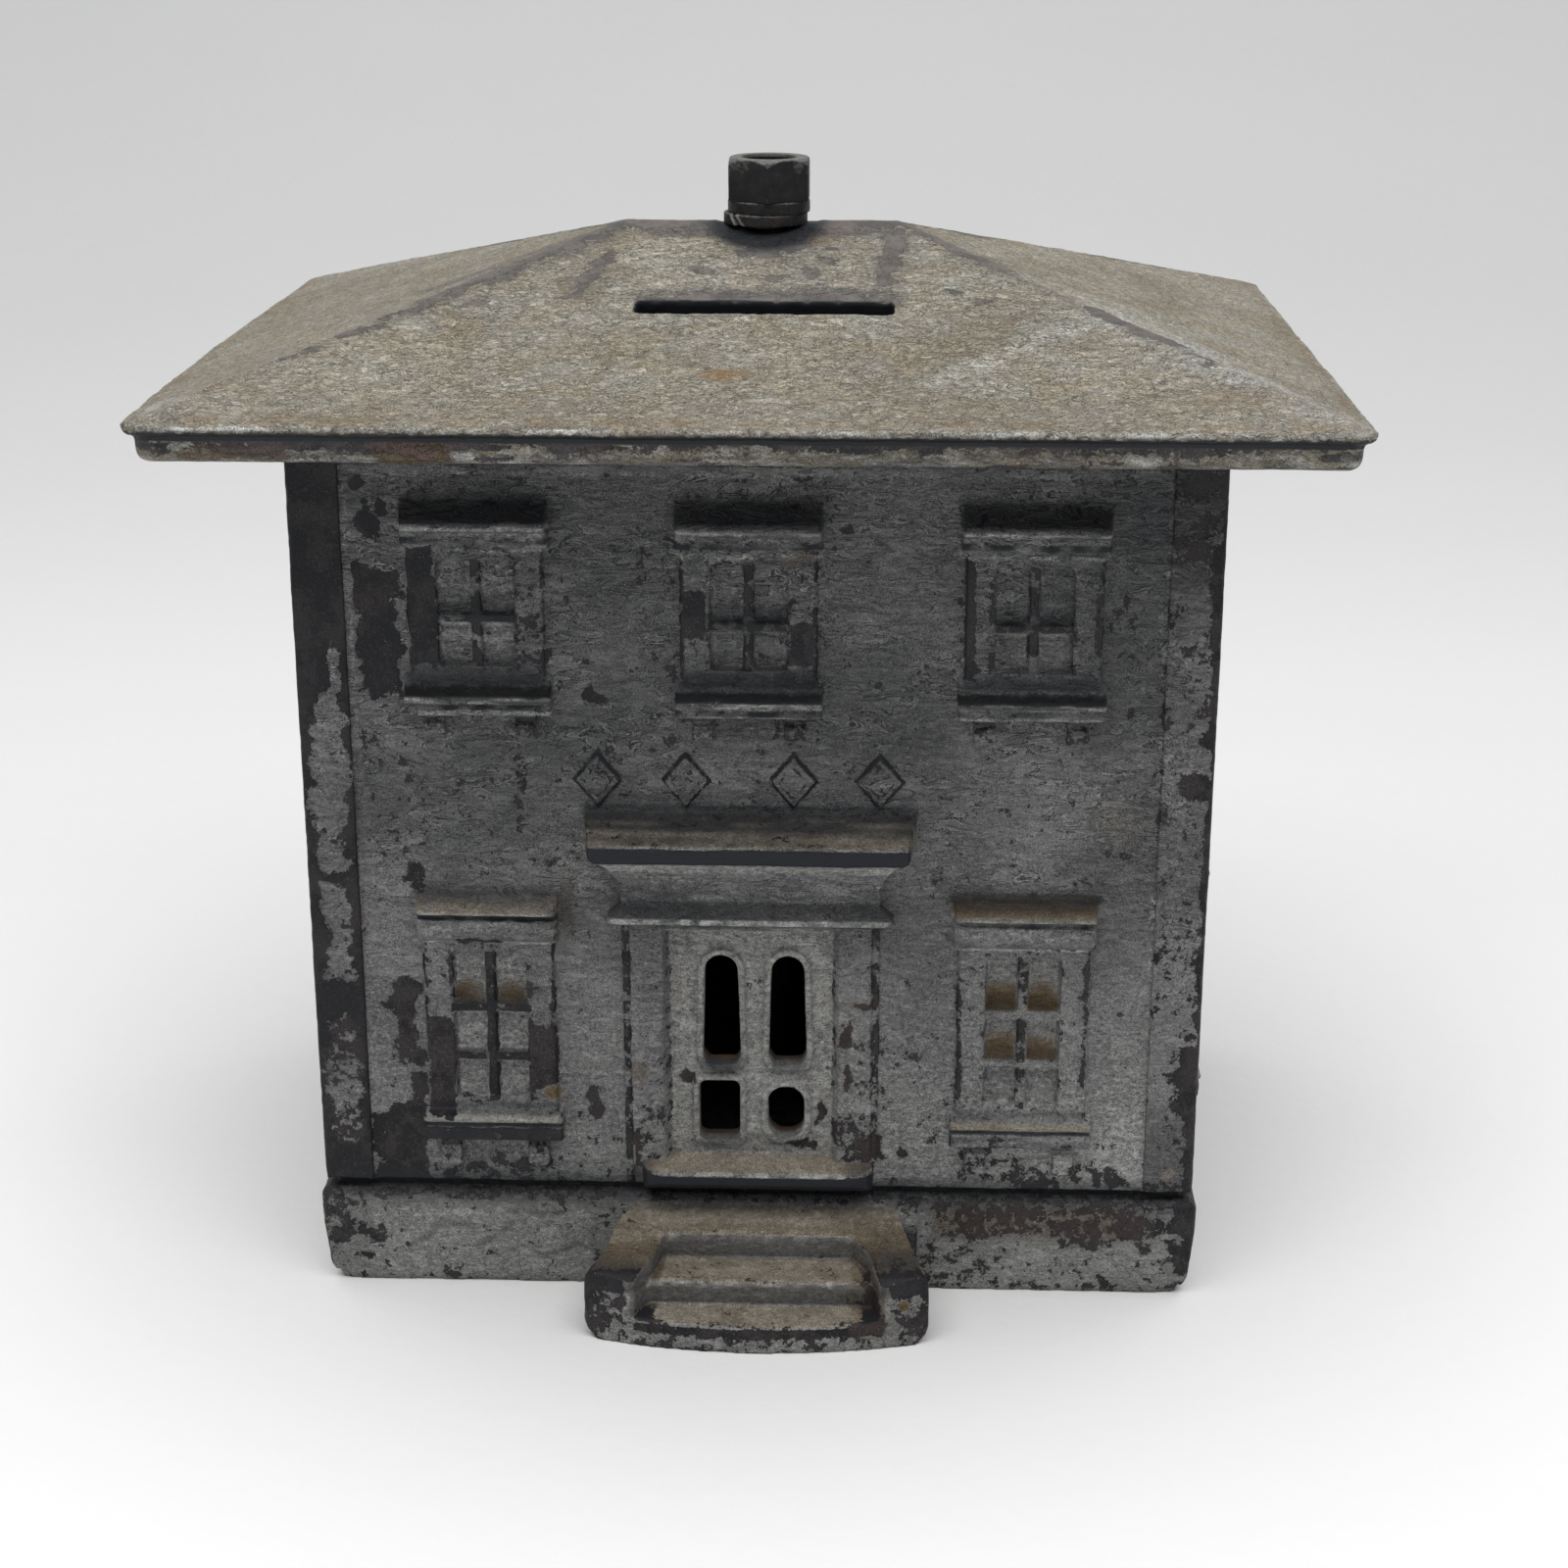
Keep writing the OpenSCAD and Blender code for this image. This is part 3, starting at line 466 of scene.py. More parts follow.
        # panes darken downwards, and so does the frame towards the sill
        k.up("soot", (1 - step(81.0, 85.8, z)) * step(80.5, 81.0, z) * rect(u, z, -4.4, 4.4, 60, 99, 0.2), g("pane_soot", 0.78))
        k.up("soot", (1 - step(73.4, g("dim", 77.8), z + 0.4 * wob)) * rect(u, z, -7.5, 7.5, 73.0, 99, 0.4), 0.9)
        # sill: its top and the band above it darkened with painted shade of the eaves, its groove with painted shade
        k.up("soot", rect(u, zz, -8.0, 8.0, 72.05, 73.2, 0.2), 1.3)
        k.up("soot", rect(u, zz, -8.0, 8.0, 73.0, 74.2, 0.6), 0.75)
        face = rect(u, zz, -8.05, 8.05, 71.35, 72.0, 0.1)
        k.down("wear", face, 0.8)
        k.up("pale", face * np.clip(0.55 - 1.1 * grainy, 0, 1), 1.0)
        k.up("soot", face * np.clip(1.6 * grainy - 0.25, 0, 1), 0.7)
        k.up("soot", rect(u, zz, -8, 8, 70.62, 71.25, 0.1) * broken, g("groove", 0.9) + 0.2)
        k.up("pale", rect(u, zz, -8, 8, 70.0, 70.58, 0.1) * np.clip(0.6 + 1.2 * grainy, 0, 1), 0.8)
        k.down("wear", rect(u, zz, -8, 8, 70.0, 70.58, 0.1), 0.7)
        for s in (-1, 1):
            k.up("wear", rect(u, z, s * 5 - 1.3, s * 5 + 1.3, 67.0, 69.8, 0.3), g("brackets", 0.42))
            # dark lines across the brackets: painted shade under the sill and in their groove
            k.up("soot", rect(u, z, s * 5 - 1.3, s * 5 + 1.3, 69.2, 69.75, 0.12), 0.75)
            k.up("soot", rect(u, z, s * 5 - 1.2, s * 5 + 1.2, 68.2, 68.6, 0.12), 0.55)
    else:
        dark = g("halo_soot", 0.6)
        zs = zz + 0.30 * noise(q, 1.6, 149)
        # dark band over the hood: painted shade of the hood mixed with grime and rust stain
        k.up("soot", rect(u, zs, -8.5, 8.6, 48.25, 49.3, 0.4), dark + 0.15)
        k.up("soot", rect(u, zs, -8.9, 9.0, 48.4, 50.6, 1.0), 0.5 * dark)
        k.up("rust", rect(u, z, -8.2, 8.2, 47.4, 49.2, 0.6), g("halo", 0.2))
        k.up("dust", rect(u, zz, -8.0, 8.0, 46.9, 48.3, 0.3) * np.clip(0.9 + 0.5 * noise(q, 1.4, 153), 0, 1), g("hood", 0.8))
        k.up("soot", rect(u, zz, -8.0, 8.0, 47.75, 49.6, 0.4), 0.50 + 0.3 * g("halo", 0.2))
        k.up("rust", rect(u, zz, -8.2, 8.2, 47.9, 49.4, 0.4), 0.9 * g("halo", 0.2))
        k.down("wear", rect(u, z, -8.2, 8.2, 46.8, 50.4, 0.2), 0.8)
        bumpy = noise(q * np.array([0.7, 0.7, 0.3], np.float32), 0.8, 145)
        # light lip edge and the frame's top edge are painted highlights; the dark line under the lip and the one under
        # the fascia are painted shadow
        k.up("pale", rect(u, zz + 0.12 * bumpy, -8, 8, 46.75, 47.2, 0.1) * np.clip(0.7 + 0.7 * bumpy, 0, 1), 1.1)
        k.up("soot", rect(u, zz + 0.10 * bumpy, -7.8, 7.8, 45.95, 46.72, 0.1) * np.clip(g("groove", 0.95) + 0.35 * bumpy, 0, 1), 1.25)
        grainy = noise(q * np.array([0.16, 0.16, 1.0], np.float32), 0.5, 139)
        k.up("pale", rect(u, zz, -8, 8, 44.5, 46.0, 0.15) * np.clip(0.6 + 1.2 * grainy, 0, 1), g("fascia", 0.45))
        k.up("soot", rect(u, zz, -8, 8, 44.2, 46.0, 0.15) * np.clip(-0.2 - 1.3 * grainy, 0, 1), 0.6)
        k.up("soot", rect(u, zz, -8, 8, 43.3, 44.1, 0.15) * broken, 0.35)
        k.down("wear", rect(u, z, -8, 8, 44.2, 46.0, 0.2), 0.4)
        k.up("pale", rect(u, zz, -7.6, 7.6, 42.8, 43.3, 0.12) * broken, 0.85)
        # sill: painted shade behind it, light front edge that is partly painted highlight, a dark groove of painted
        # shadow, duller fascia, painted shade under it
        k.up("soot", rect(u, z, -7.6, 7.6, 22.2, 23.4, 0.4) * (1 - step(1.3, 1.9, p)), 0.42)
        edge = rect(u, z, -8, 8, 21.55, 22.6, 0.12) * step(1.5, 2.1, p)
        k.down("wear", edge, 0.85)
        k.up("pale", edge, 0.8)
        k.up("dust", edge, g("sill_dust", 0.5))
        k.up("soot", rect(u, zz, -8, 8, 20.95, 21.5, 0.1), 0.95)
        k.up("pale", rect(u, zz, -8, 8, 21.75, 22.2, 0.12) * step(1.4, 2.0, p) * np.clip(0.7 + 0.8 * grainy, 0, 1), 1.1)
        low = rect(u, z, -8, 8, 19.0, 20.95, 0.2) * step(1.2, 1.6, p)
        k.up("wear", low, g("sill", 0.3) + (0.34 if g("sill", 0.3) > 0.4 else 0.12))
        k.up("soot", low * np.clip(0.75 + 0.9 * grainy, 0, 1), g("sill", 0.3) + 0.42)
        k.up("soot", rect(u, z, -8, 8, 18.5, 19.2, 0.2), 0.6)
        for s in (-1, 1):
            k.up("wear", rect(u, z, s * 5 - 1.3, s * 5 + 1.3, 15.6, 18.8, 0.3), g("brackets", 0.4))
            # dark line at the brackets' tops: painted shade under the sill
            k.up("soot", rect(u, z, s * 5 - 1.3, s * 5 + 1.3, 18.3, 18.9, 0.15), 0.8)


def front_marks(me, p, nr, curve):
    k = Marks(len(p))
    q = p.astype(np.float32)
    x, z = p[:, 0], p[:, 2]
    out = -p[:, 1] - FIELD_Y
    wx, wz = warped(q)
    u, v = x + wx, z + wz
    on = step(-1.6, -1.1, out)  # the outside
    big = fbm(q, 14.0, 3, 201)
    # worn edges all over
    k.wear += 0.20 + 0.10 * big + 0.55 * step(0.05, 0.17, curve)
    # windows
    drawn = undrop(x, z)
    window_marks(k, x, drawn, out, q, -30.0, True, {"bars": 0.95, "cross": 0.95, "panes": 0.42, "edge": 0.5, "under_lip": 0.35, "pane_top": 0.75, "dim": 79.2}, 0.22)
    window_marks(k, x, drawn, out, q, -0.6, True, {"shift": -0.4, "bars": 0.85, "cross": 0.75, "panes": 0.15, "edge": 0.6, "under_lip": 0.6, "pane_top": 0.3}, 0.30)
    window_marks(k, x, drawn, out, q, 29.9, True, {"shift": -0.3, "bars": 0.75, "cross": 0.6, "panes": 0.2, "edge": 0.45, "under_lip": 0.6, "groove": 0.5}, 0.22)
    window_marks(k, x, z, out, q, -29.9, False, {"bars": 0.92, "cross": 0.95, "panes": 0.5, "sill": 0.45}, 0.22)
    window_marks(k, x, z, out, q, 29.9, False, {"bars": 0.56, "cross": 0.05, "cross_top": 0.2, "pane_top": 0.45, "panes": 0.4, "sash": 0.3,
                                                "edge": 0.4, "brackets": 0.2, "halo": 0.8, "halo_soot": 0.75, "hood": 0.7, "sill": 0.2, "sill_dust": 0.9, "groove": 0.45}, 0.10)
    # bare patches, as they lie on the front
    for f, a in (
        (rect(u, v, -43.2, -38.4, 71.5, 86.0, 0.9), 0.86),
        (spot(u, v, -42.0, 95.2, 0.8, 0.8), 0.9),
        (spot(u, v, -41.6, 91.2, 1.3, 2.4), 0.86),
        (spot(u, v, -39.6, 92.2, 0.7, 1.0), 0.8),
        (spot(u, v, -40.2, 35.8, 2.1, 2.6), 0.85),
        (rect(u, v, -40.8, -38.2, 27.5, 35.0, 0.8), 0.75),
        (rect(u, v, -40.2, -38.4, 20.5, 27.0, 0.6), 0.72),
        (rect(u, v, -44.6, -37.6, 12.0, 22.5, 1.2), 0.92),
        (rect(u, v, -38.5, -22.0, 12.0, 16.4, 1.4), 0.52),
        (rect(x + 0.3 * wx, z + wz, -37.4, -34.3, 75.5, 88.3, 0.3), 0.86),
        (rect(x + 0.3 * wx, z + wz, -26.2, -22.6, 76.0, 81.0, 0.5), 0.46),
        (spot(u, v, -22.9, 80.9, 0.4, 0.6), 0.8),
        (spot(u, v, -22.8, 77.4, 0.45, 0.9), 0.8),
        (spot(u, v, -30.6, 43.6, 2.6, 0.45), 0.85),
        (rect(x + 0.3 * wx, z + wz, -8.0, -5.2, 78.4, 83.8, 0.4), 0.9),
        (rect(x + 0.3 * wx, z + wz, 3.6, 6.5, 75.2, 80.2, 0.5), 0.82),
        (rect(x + 0.2 * wx, z + wz, 22.5, 23.7, 74.6, 87.4, 0.25), 0.86),
        (rect(x + 0.2 * wx, z + wz, 36.5, 37.3, 76.5, 87.4, 0.25), 0.62),
        (rect(x + 0.4 * wx, z + wz, -37.3, -34.1, 22.0, 33.4, 0.4), 0.92),
        (rect(x + 0.4 * wx, z + wz, -25.8, -22.3, 24.8, 33.4, 0.5), 0.88),
        (rect(x + 0.2 * wx, z + wz, -37.5, -37.0, 33.0, 42.0, 0.2), 0.7),
        (rect(x + 0.3 * wx, z + wz, -23.2, -22.4, 33.0, 39.0, 0.3), 0.66),
        (rect(x + 0.2 * wx, z + wz, 22.5, 23.3, 24.0, 38.0, 0.25), 0.66),
        (rect(x + 0.2 * wx, z + wz, 36.6, 37.3, 26.0, 41.0, 0.25), 0.66),
        (spot(u, v, -17.5, 71.6, 1.1, 0.9), 0.85),
        (spot(u, v, -18.2, 23.4, 0.9, 1.5), 0.85),
        (spot(u, v, 9.6, 90.2, 1.2, 0.6), 0.85),
        (spot(u, v, 24.0, 92.2, 0.7, 0.4), 0.7),
        (spot(u, v, 40.2, 71.2, 0.9, 0.6), 0.75),
        (spot(u, v, 41.0, 36.0, 0.5, 0.4), 0.75),
        (spot(u, v, 17.2, 17.8, 0.5, 0.9), 0.72),
        (rect(u, v, -26.6, -25.2, 55.5, 66.0, 0.5), 0.55),
        (spot(u, v, -37.5, 50.6, 1.2, 1.6), 0.7),
        (rect(u, v, -44.0, -36.0, 50.0, 70.0, 2.5), 0.34),
        (rect(u, v, 25.0, 43.0, 13.0, 16.5, 1.0), 0.50),
        (rect(u, v, 22.0, 30.0, 14.0, 19.5, 1.2), 0.42),
        (spot(u, v, 40.0, 80.0, 2.0, 4.0), 0.38),
        (rect(x, z + wz, 44.2, 44.6, 58.0, 86.0, 0.15), 0.62),
        (rect(x, z + wz, 44.2, 44.6, 70.0, 72.5, 0.15), 0.2),
    ):
        k.up("wear", f, a)
    # paint that stayed on in the corner beside the left strip, and painted highlights on the field's top and right
    # edges under the eaves
    k.up("pale", rect(x, z, -44.6, -43.3, 69, 96.6, 0.3), 0.30)
    k.down("wear", rect(x, v, -44.6, -43.4, 70, 96.6, 0.25), 0.75)
    k.up("pale", rect(x, z, -43, 44.4, 96.0, 96.6, 0.2), 0.35)
    k.up("pale", rect(x, z, 44.0, 44.6, 60, 96.6, 0.15), 0.25)
    # painted shade of the eaves on the band just under them
    k.up("soot", rect(x, z, -45, 45, 97.0, 101, 0.5), 0.35)
    # painted shade under the eaves, growing upwards, with grime patches; lighter towards the foot as painted bounce
    # light
    grime_and_eave_shade = (0.06 * step(40, 60, z) + step(58, 74, z) * 0.13 + step(78, 96, z) * 0.13) * on
    grime_and_eave_shade = grime_and_eave_shade * np.clip(1.0 + 0.9 * fbm(q, 7.0, 3, 261), 0.2, 2) + 0.19 * on * step(12, 44, x) * step(52, 88, z)
    grime_and_eave_shade = grime_and_eave_shade + 0.17 * on * step(-44, -30, x) * (1 - step(-18, -4, x)) * band(z, 50, 72, 5.0)
    grime_and_eave_shade = grime_and_eave_shade + 0.05 * on * step(50, 60, z) * (1 - step(84, 92, z))
    k.soot = np.maximum(k.soot, grime_and_eave_shade)
    k.up("pale", on * rect(u, v, 22.0, 41.0, 12.0, 19.0, 2.0), 0.22)
    k.up("pale", (1 - step(16, 60, z)) * on * (0.34 + 0.42 * step(0, 40, x) * (1 - step(18, 34, z))))
    k.up("soot", spot(x, z, -21.4, 47.0, 1.3, 3.6, 0.9), 0.55)
    k.up("rust", spot(x, z, -21.4, 47.0, 1.6, 4.0, 0.9), 0.35)
    # the plate's edges catch the light
    rim = on * np.clip(0.55 + 1.2 * noise(q * np.array([1, 1, 0.35], np.float32), 1.2, 263), 0, 1)
    k.up("pale", rim * band(x, 43.9, 44.5, 0.12) * step(13.5, 15, z), 0.75)
    k.up("pale", rim * band(-x, 43.5, 44.4, 0.2) * step(60, 72, z), 0.7)
    k.up("pale", rim * band(z, 96.0, 96.6, 0.15), 0.55)
    k.up("soot", spot(u, v, 8.0, 68.5, 4.0, 3.2, 0.8), 0.30)
    k.up("soot", spot(u, v, -17.0, 60.5, 5.0, 1.0, 0.8), 0.40)
    # panes with rust-brown dirt at the lower right, fainter at the lower left
    for cx, amount in ((29.9, 1.0), (-29.9, 0.80)):
        for s in (-1, 1):
            pane = rect(x, z, cx + s * 2.35 - 1.75, cx + s * 2.35 + 1.75, 20, 45, 0.35)
            soft = 0.5 * (x - cx - s * 2.35) ** 2 / 3.0
            reach = 40.6 if cx > 0 else 38.6
            k.up("rust", pane * (1 - step(35.8, reach, z + 1.6 * wz + soft)) * step(35.3, 35.7, z), 1.15 * amount)
            k.up("soot", pane * (1 - step(35.2, 38.6, z + 0.8 * wz + soft)) * step(35.2, 35.6, z), 0.72 * amount)
            if cx > 0:
                k.up("rust", pane * (1 - step(30.0, 34.6, z + 1.4 * wz + soft)) * step(29.35, 29.7, z), 0.92)
                k.up("soot", pane * (1 - step(29.2, 32.0, z + 0.6 * wz + soft)) * step(29.3, 29.7, z), 0.55)
    k.up("rust", spot(u, v, 4.8, 87.4, 1.6, 0.9, 0.5), 0.55)
    k.up("rust", spot(u, v, -23.3, 24.6, 1.3, 1.0, 0.4), 0.8)
    k.up("dust", spot(u, v, -23.3, 24.6, 1.5, 1.2, 0.4), 0.9)
    k.down("wear", spot(u, v, -23.3, 24.6, 1.5, 1.2, 0.4), 0.9)
    k.up("rust", spot(u, v, -13.0, 27.2, 1.0, 1.4, 0.5), 0.45)
    k.up("dust", spot(u, v, 40.0, 58.0, 2.2, 2.4, 0.6), 0.30)
    # doorway
    d = x - DOOR_X
    # canopy: dusty brown top, painted shade at its back and on the wall above it, thin light front edge, dark front
    canopy = rect(d, z, -18.6, 18.6, 53.4, 58.9, 0.1) * step(0.15, 0.5, out)
    k.up("dust", canopy * step(56.2, 56.5, z) * (1 - 0.5 * step(57.0, 58.4, z)), 0.95)
    lengthwise = noise(q * np.array([0.12, 1, 1], np.float32), 0.8, 265)
    k.up("soot", canopy * step(56.2, 56.5, z) * np.clip(0.42 + 0.4 * lengthwise + 0.6 * step(56.6, 58.2, z), 0, 1), 0.92)
    k.up("soot", rect(d, z, -18.6, 18.6, 57.8, 59.6, 0.55) * on, 0.85)
    k.up("soot", rect(d, z, -18.6, 18.6, 58.4, 61.2, 0.9) * on, 0.45)
    k.up("wear", canopy * band(z, 54.0, 56.1, 0.1) * step(4.3, 4.8, out), 1.2)
    k.up("soot", canopy * band(z, 53.7, 56.0, 0.1) * step(3.9, 4.5, out), 1.05)
    k.up("pale", canopy * band(z, 54.2, 54.7, 0.08) * step(4.5, 5.0, out) * np.clip(1.6 * lengthwise, 0, 1), 0.30)
    edge = canopy * band(z, 56.1, 56.45, 0.08) * step(4.9, 5.2, out)
    k.down("wear", edge, 0.9)
    k.up("pale", edge * np.clip(0.6 + 0.8 * lengthwise, 0, 1), 0.6)
    ent = rect(d, z, -17.2, 17.2, 45.6, 54.0, 0.1) * step(0.1, 0.4, out)
    k.down("soot", ent * band(z, 48.6, 53.9, 0.3), 0.7)
    woody = noise(q * np.array([0.10, 1, 1], np.float32), 0.5, 267)
    k.up("pale", ent * band(z, 52.2, 53.7, 0.5), 0.75)
    k.up("pale", ent * band(z, 48.6, 53.7, 0.4) * np.clip(1.8 * woody - 0.2, 0, 1), 0.45)
    k.up("soot", ent * band(z, 46.9, 53.7, 0.4) * np.clip(-1.8 * woody - 0.3, 0, 1), 0.35)
    k.down("wear", ent * band(z, 49.5, 53.7, 0.5), 0.4)
    # band above the ledge: painted shade of the canopy
    k.up("soot", ent * band(z, 46.6, 48.5, 0.35), 0.62)
    ledge = rect(d, z, -16.1, 16.1, 46.05, 46.8, 0.1) * step(1.9, 2.3, out)
    k.down("soot", ledge, 1.0)
    k.down("wear", ledge, 0.8)
    # ledge front edge: painted highlight; the dark line under it: painted shadow
    k.up("pale", ledge * np.clip(0.7 + 0.9 * noise(q, 1.1, 269), 0, 1), 1.2)
    k.up("soot", rect(d, z, -16.3, 16.3, 45.3, 46.05, 0.12) * on * np.clip(0.8 + noise(q, 1.5, 271), 0, 1), 0.85)
    # slab of the door, its rims, pilasters
    slab = rect(d, z, -9.3, 9.3, 16.6, 45.0, 0.2)
    k.up("pale", slab, 0.68)
    k.up("dust", slab * np.clip(0.5 + 0.9 * fbm(q, 3.0, 3, 275), 0, 1), 0.30)
    # dirt below the lights of the door
    for cu, lo, w, h, a in ((-3.4, 28.1, 2.6, 1.5, 0.85), (4.1, 27.9, 2.5, 1.2, 0.62), (-3.6, 18.5, 3.2, 1.0, 0.6), (3.9, 18.8, 2.8, 1.0, 0.5)):
        k.up("soot", spot(d, z + 0.3 * wz, cu, lo, w, h, 0.6), a)
    # darker bands beside the door's lights: painted shade
    k.up("soot", slab * most(band(np.abs(d + 3.6), 2.2, 3.2, 0.4), band(np.abs(d - 4.0), 2.1, 3.0, 0.4)) * rect(d, z, -9, 9, 18, 41, 1.0), 0.16)
    k.down("wear", slab, 0.5)
    for s in (-1, 1):
        k.up("wear", rect(d * s, z, 9.0, 9.7, 17.0, 44.0, 0.2), 0.42)
        k.up("wear", rect(d * s, v, 13.4, 14.5, 13.5, 45.5, 0.2), 0.62 if s < 0 else 0.5)
        k.up("wear", rect(d * s, v, 9.6, 13.6, 14.0, 24.0, 1.2), 0.46)
        k.up("pale", rect(d * s, z, 8.9, 9.3, 18, 44.5, 0.15), 0.3)
    for f, a in (
        (spot(u, v, 10.6, 31.9, 0.8, 1.7), 0.80),
        (spot(u, v, 10.2, 27.4, 0.4, 2.2), 0.70),
        (spot(u, v, 7.0, 22.2, 0.7, 1.5), 0.76),
        (spot(u, v, -7.5, 26.6, 0.9, 0.7), 0.80),
        (spot(u, v, 5.6, 18.5, 2.2, 0.8), 0.72),
        (spot(u, v, 13.4, 18.4, 1.6, 2.4), 0.78),
        (spot(u, v, -13.4, 18.2, 0.7, 2.6), 0.80),
        (spot(u, v, 11.9, 36.2, 2.0, 0.7), 0.64),
    ):
        k.up("wear", f, a)
        k.up("rust", f, 0.35)
    # threshold
    th = rect(d, z, -12.6, 14.0, 13.0, 17.0, 0.1) * step(0.2, 0.5, out + 0.9)
    tread = th * step(15.7, 15.95, z) * step(0.15, 0.6, nr[:, 2])
    k.up("dust", tread, 1.0)
    k.down("wear", tread, 0.95)
    k.up("pale", tread * (1 - step(1.2, 2.4, out)) * 0.4)
    k.up("soot", tread * most(step(10.4, 12.0, -d), step(9.0, 12.6, d)), 0.66)
    nose = th * band(z + 0.12 * wz, 15.6, 16.2, 0.12) * step(2.6, 3.1, out)
    k.down("dust", nose, 0.6)
    k.up("pale", nose * np.clip(0.5 + 1.2 * noise(q, 0.9, 273), 0, 1), 1.0)
    face = th * band(z, 13.0, 15.6, 0.15) * step(1.4, 2.0, out)
    k.up("wear", face, 1.1)
    # dark threshold front and the gap under it: painted shade over the bare face
    k.up("soot", th * band(z, 12.9, 15.6, 0.15), 1.0)
    # lozenges in the frieze: dark upper edges as on old castings
    for cx in (-17.3, -7.6, 4.2, 13.7):
        dd = np.abs(x - cx) / 2.6 + np.abs(z - 62.3) / 3.1
        ring = band(dd, 0.86, 1.12, 0.08)
        k.up("soot", ring * step(-0.5, 0.8, z - 62.3), 0.85)
        k.up("wear", ring, 0.60)
        k.up("wear", band(dd, 0.50, 0.66, 0.06), 0.42)
        k.up("soot", spot(u, v, cx + 0.5, 66.0, 3.4, 1.2, 0.8), 0.38)
    # the row just above the seat is dark and bare
    k.up("soot", (1 - step(13.3, 15.2, z)) * on, 0.72)
    k.inner = 1 - step(-2.4, -1.4, out)
    return k


def strip_marks(k, me, p, nr, curve, sign):
    """The corner strips of a side wall that show at the front. sign -1 left, +1 right."""
    q = p.astype(np.float32)
    x, z = p[:, 0] * sign, p[:, 2]  # x counts outwards
    wx, wz = warped(q, 5)
    u, v = x + 0.8 * wx, z + 1.2 * wz
    front = step(FACE_Y - 2.6, FACE_Y - 0.9, -p[:, 1]) * (x > 43.5)
    w = np.zeros(len(p))
    if sign < 0:
        w = np.maximum(w, 1.0 * front)
        holes = most(
            spot(u, v, 46.0, 74.5, 0.75, 3.4, 0.4) * 0.95,
            spot(u, v, 46.6, 68.5, 1.7, 3.0, 0.4) * 0.95,
            spot(u, v, 46.4, 63.6, 2.3, 3.2, 0.4) * 0.9,
            spot(u, v, 47.0, 58.6, 2.2, 3.0, 0.4) * 0.95,
            spot(u, v, 46.8, 53.4, 1.9, 2.6, 0.4) * 0.85,
            spot(u, v, 46.9, 47.0, 1.7, 2.2, 0.4) * 0.8,
            rect(u, v, 45.0, 48.6, 37.5, 50.0, 0.7) * 0.72,
            rect(u, v, 45.4, 48.8, 30.0, 34.0, 0.7) * 0.62,
            rect(u, v, 45.0, 48.9, 18.5, 30.5, 1.0) * 0.66,
        )
        w = w * (1 - 0.9 * holes)
        w = np.maximum(w, front * rect(u, v, 44.0, 50.5, 34.6, 37.2, 0.6) * 0.92)
        k.up("pale", front * holes, 0.18)
    else:
        w = np.maximum(w, 0.24 * front)
        w = np.maximum(w, front * step(82.0, 90.0, v) * 0.47)
        w = np.maximum(w, front * band(v, 66.0, 84.0, 2.0) * 0.36)
        k.up("thin", front * step(70.0, 86.0, v) * 0.80)
        k.up("thin", front * spot(u, v, 46.5, 80.0, 3.0, 2.0, 0.6) * 0.6)
        ragged = most(
            step(48.3, 49.4, u) * band(v, 66, 90, 1.0),
            step(49.1, 49.9, u) * band(v, 50, 70, 1.0),
            step(48.2, 49.6, u) * band(v, 34, 52, 1.5),
            step(46.4, 48.4, u) * band(v, 21.5, 30.5, 1.2),
            step(48.4, 49.6, u) * band(v, 13, 24, 1.2),
            spot(u, v, 48.0, 62.0, 1.8, 1.6, 0.4),
            step(49.35, 49.8, x),
        )
        w = np.maximum(w, front * ragged * 0.95)
        w = np.maximum(w, front * band(v, 34, 50, 2.0) * 0.42)
        w = np.maximum(w, front * band(v, 18, 34, 2.0) * step(44.8, 47.5, u) * 0.5)
        w = np.maximum(w, front * (1 - step(14.0, 16.6, v)) * 0.62)
        k.up("dust", front * spot(x, z, 47.0, 15.6, 0.8, 0.7, 0.5), 0.8)
        k.up("pale", front * band(v, 20, 84, 2.0), 0.10)
    k.wear = k.wear * (1 - front) + w * front
    # painted shade under the eaves
    k.up("soot", front * step(88, 98, z), 0.30)
    if sign < 0:
        k.up("soot", front * (1 - step(0.2, 0.5, holes)), 0.30)
    return front


def side_marks(me, p, nr, curve, sign):
    k = Marks(len(p))
    q = p.astype(np.float32)
    big = fbm(q, 16.0, 3, 301 + int(sign))
    mid = fbm(q, 5.0, 3, 311 + int(sign))
    y, z = p[:, 1], p[:, 2]
    out = p[:, 0] * sign - 49.5
    k.wear += 0.24 + 0.16 * big + 0.12 * mid + 0.5 * step(0.05, 0.16, curve)
    for cy in (-17.0, 17.0):
        window_marks(k, y, z, out, q, cy, True, {"bars": 0.7, "cross": 0.55, "panes": 0.25}, 0.24)
        window_marks(k, y, z, out, q, cy, False, {"bars": 0.7, "cross": 0.6, "panes": 0.35, "halo": 0.4}, 0.24)
    # corner strips on the side face are rubbed along their outer edge
    edge = step(31.9, 33.2, np.abs(y))
    k.up("wear", edge * (0.62 + 0.35 * mid))
    k.up("wear", (1 - step(14, 22, z + 4 * mid)) * 0.66)
    # painted shade under the eaves
    k.up("soot", step(86, 98, z) * 0.3)
    k.up("soot", (1 - step(13.2, 14.6, z)) * 0.5)
    strip_marks(k, me, p, nr, curve, sign)
    k.inner = 1 - step(44.6, 45.6, np.maximum(p[:, 0] * sign, 0) + 10 * step(FACE_Y - 2.0, FACE_Y - 0.9, np.abs(y)))
    return k


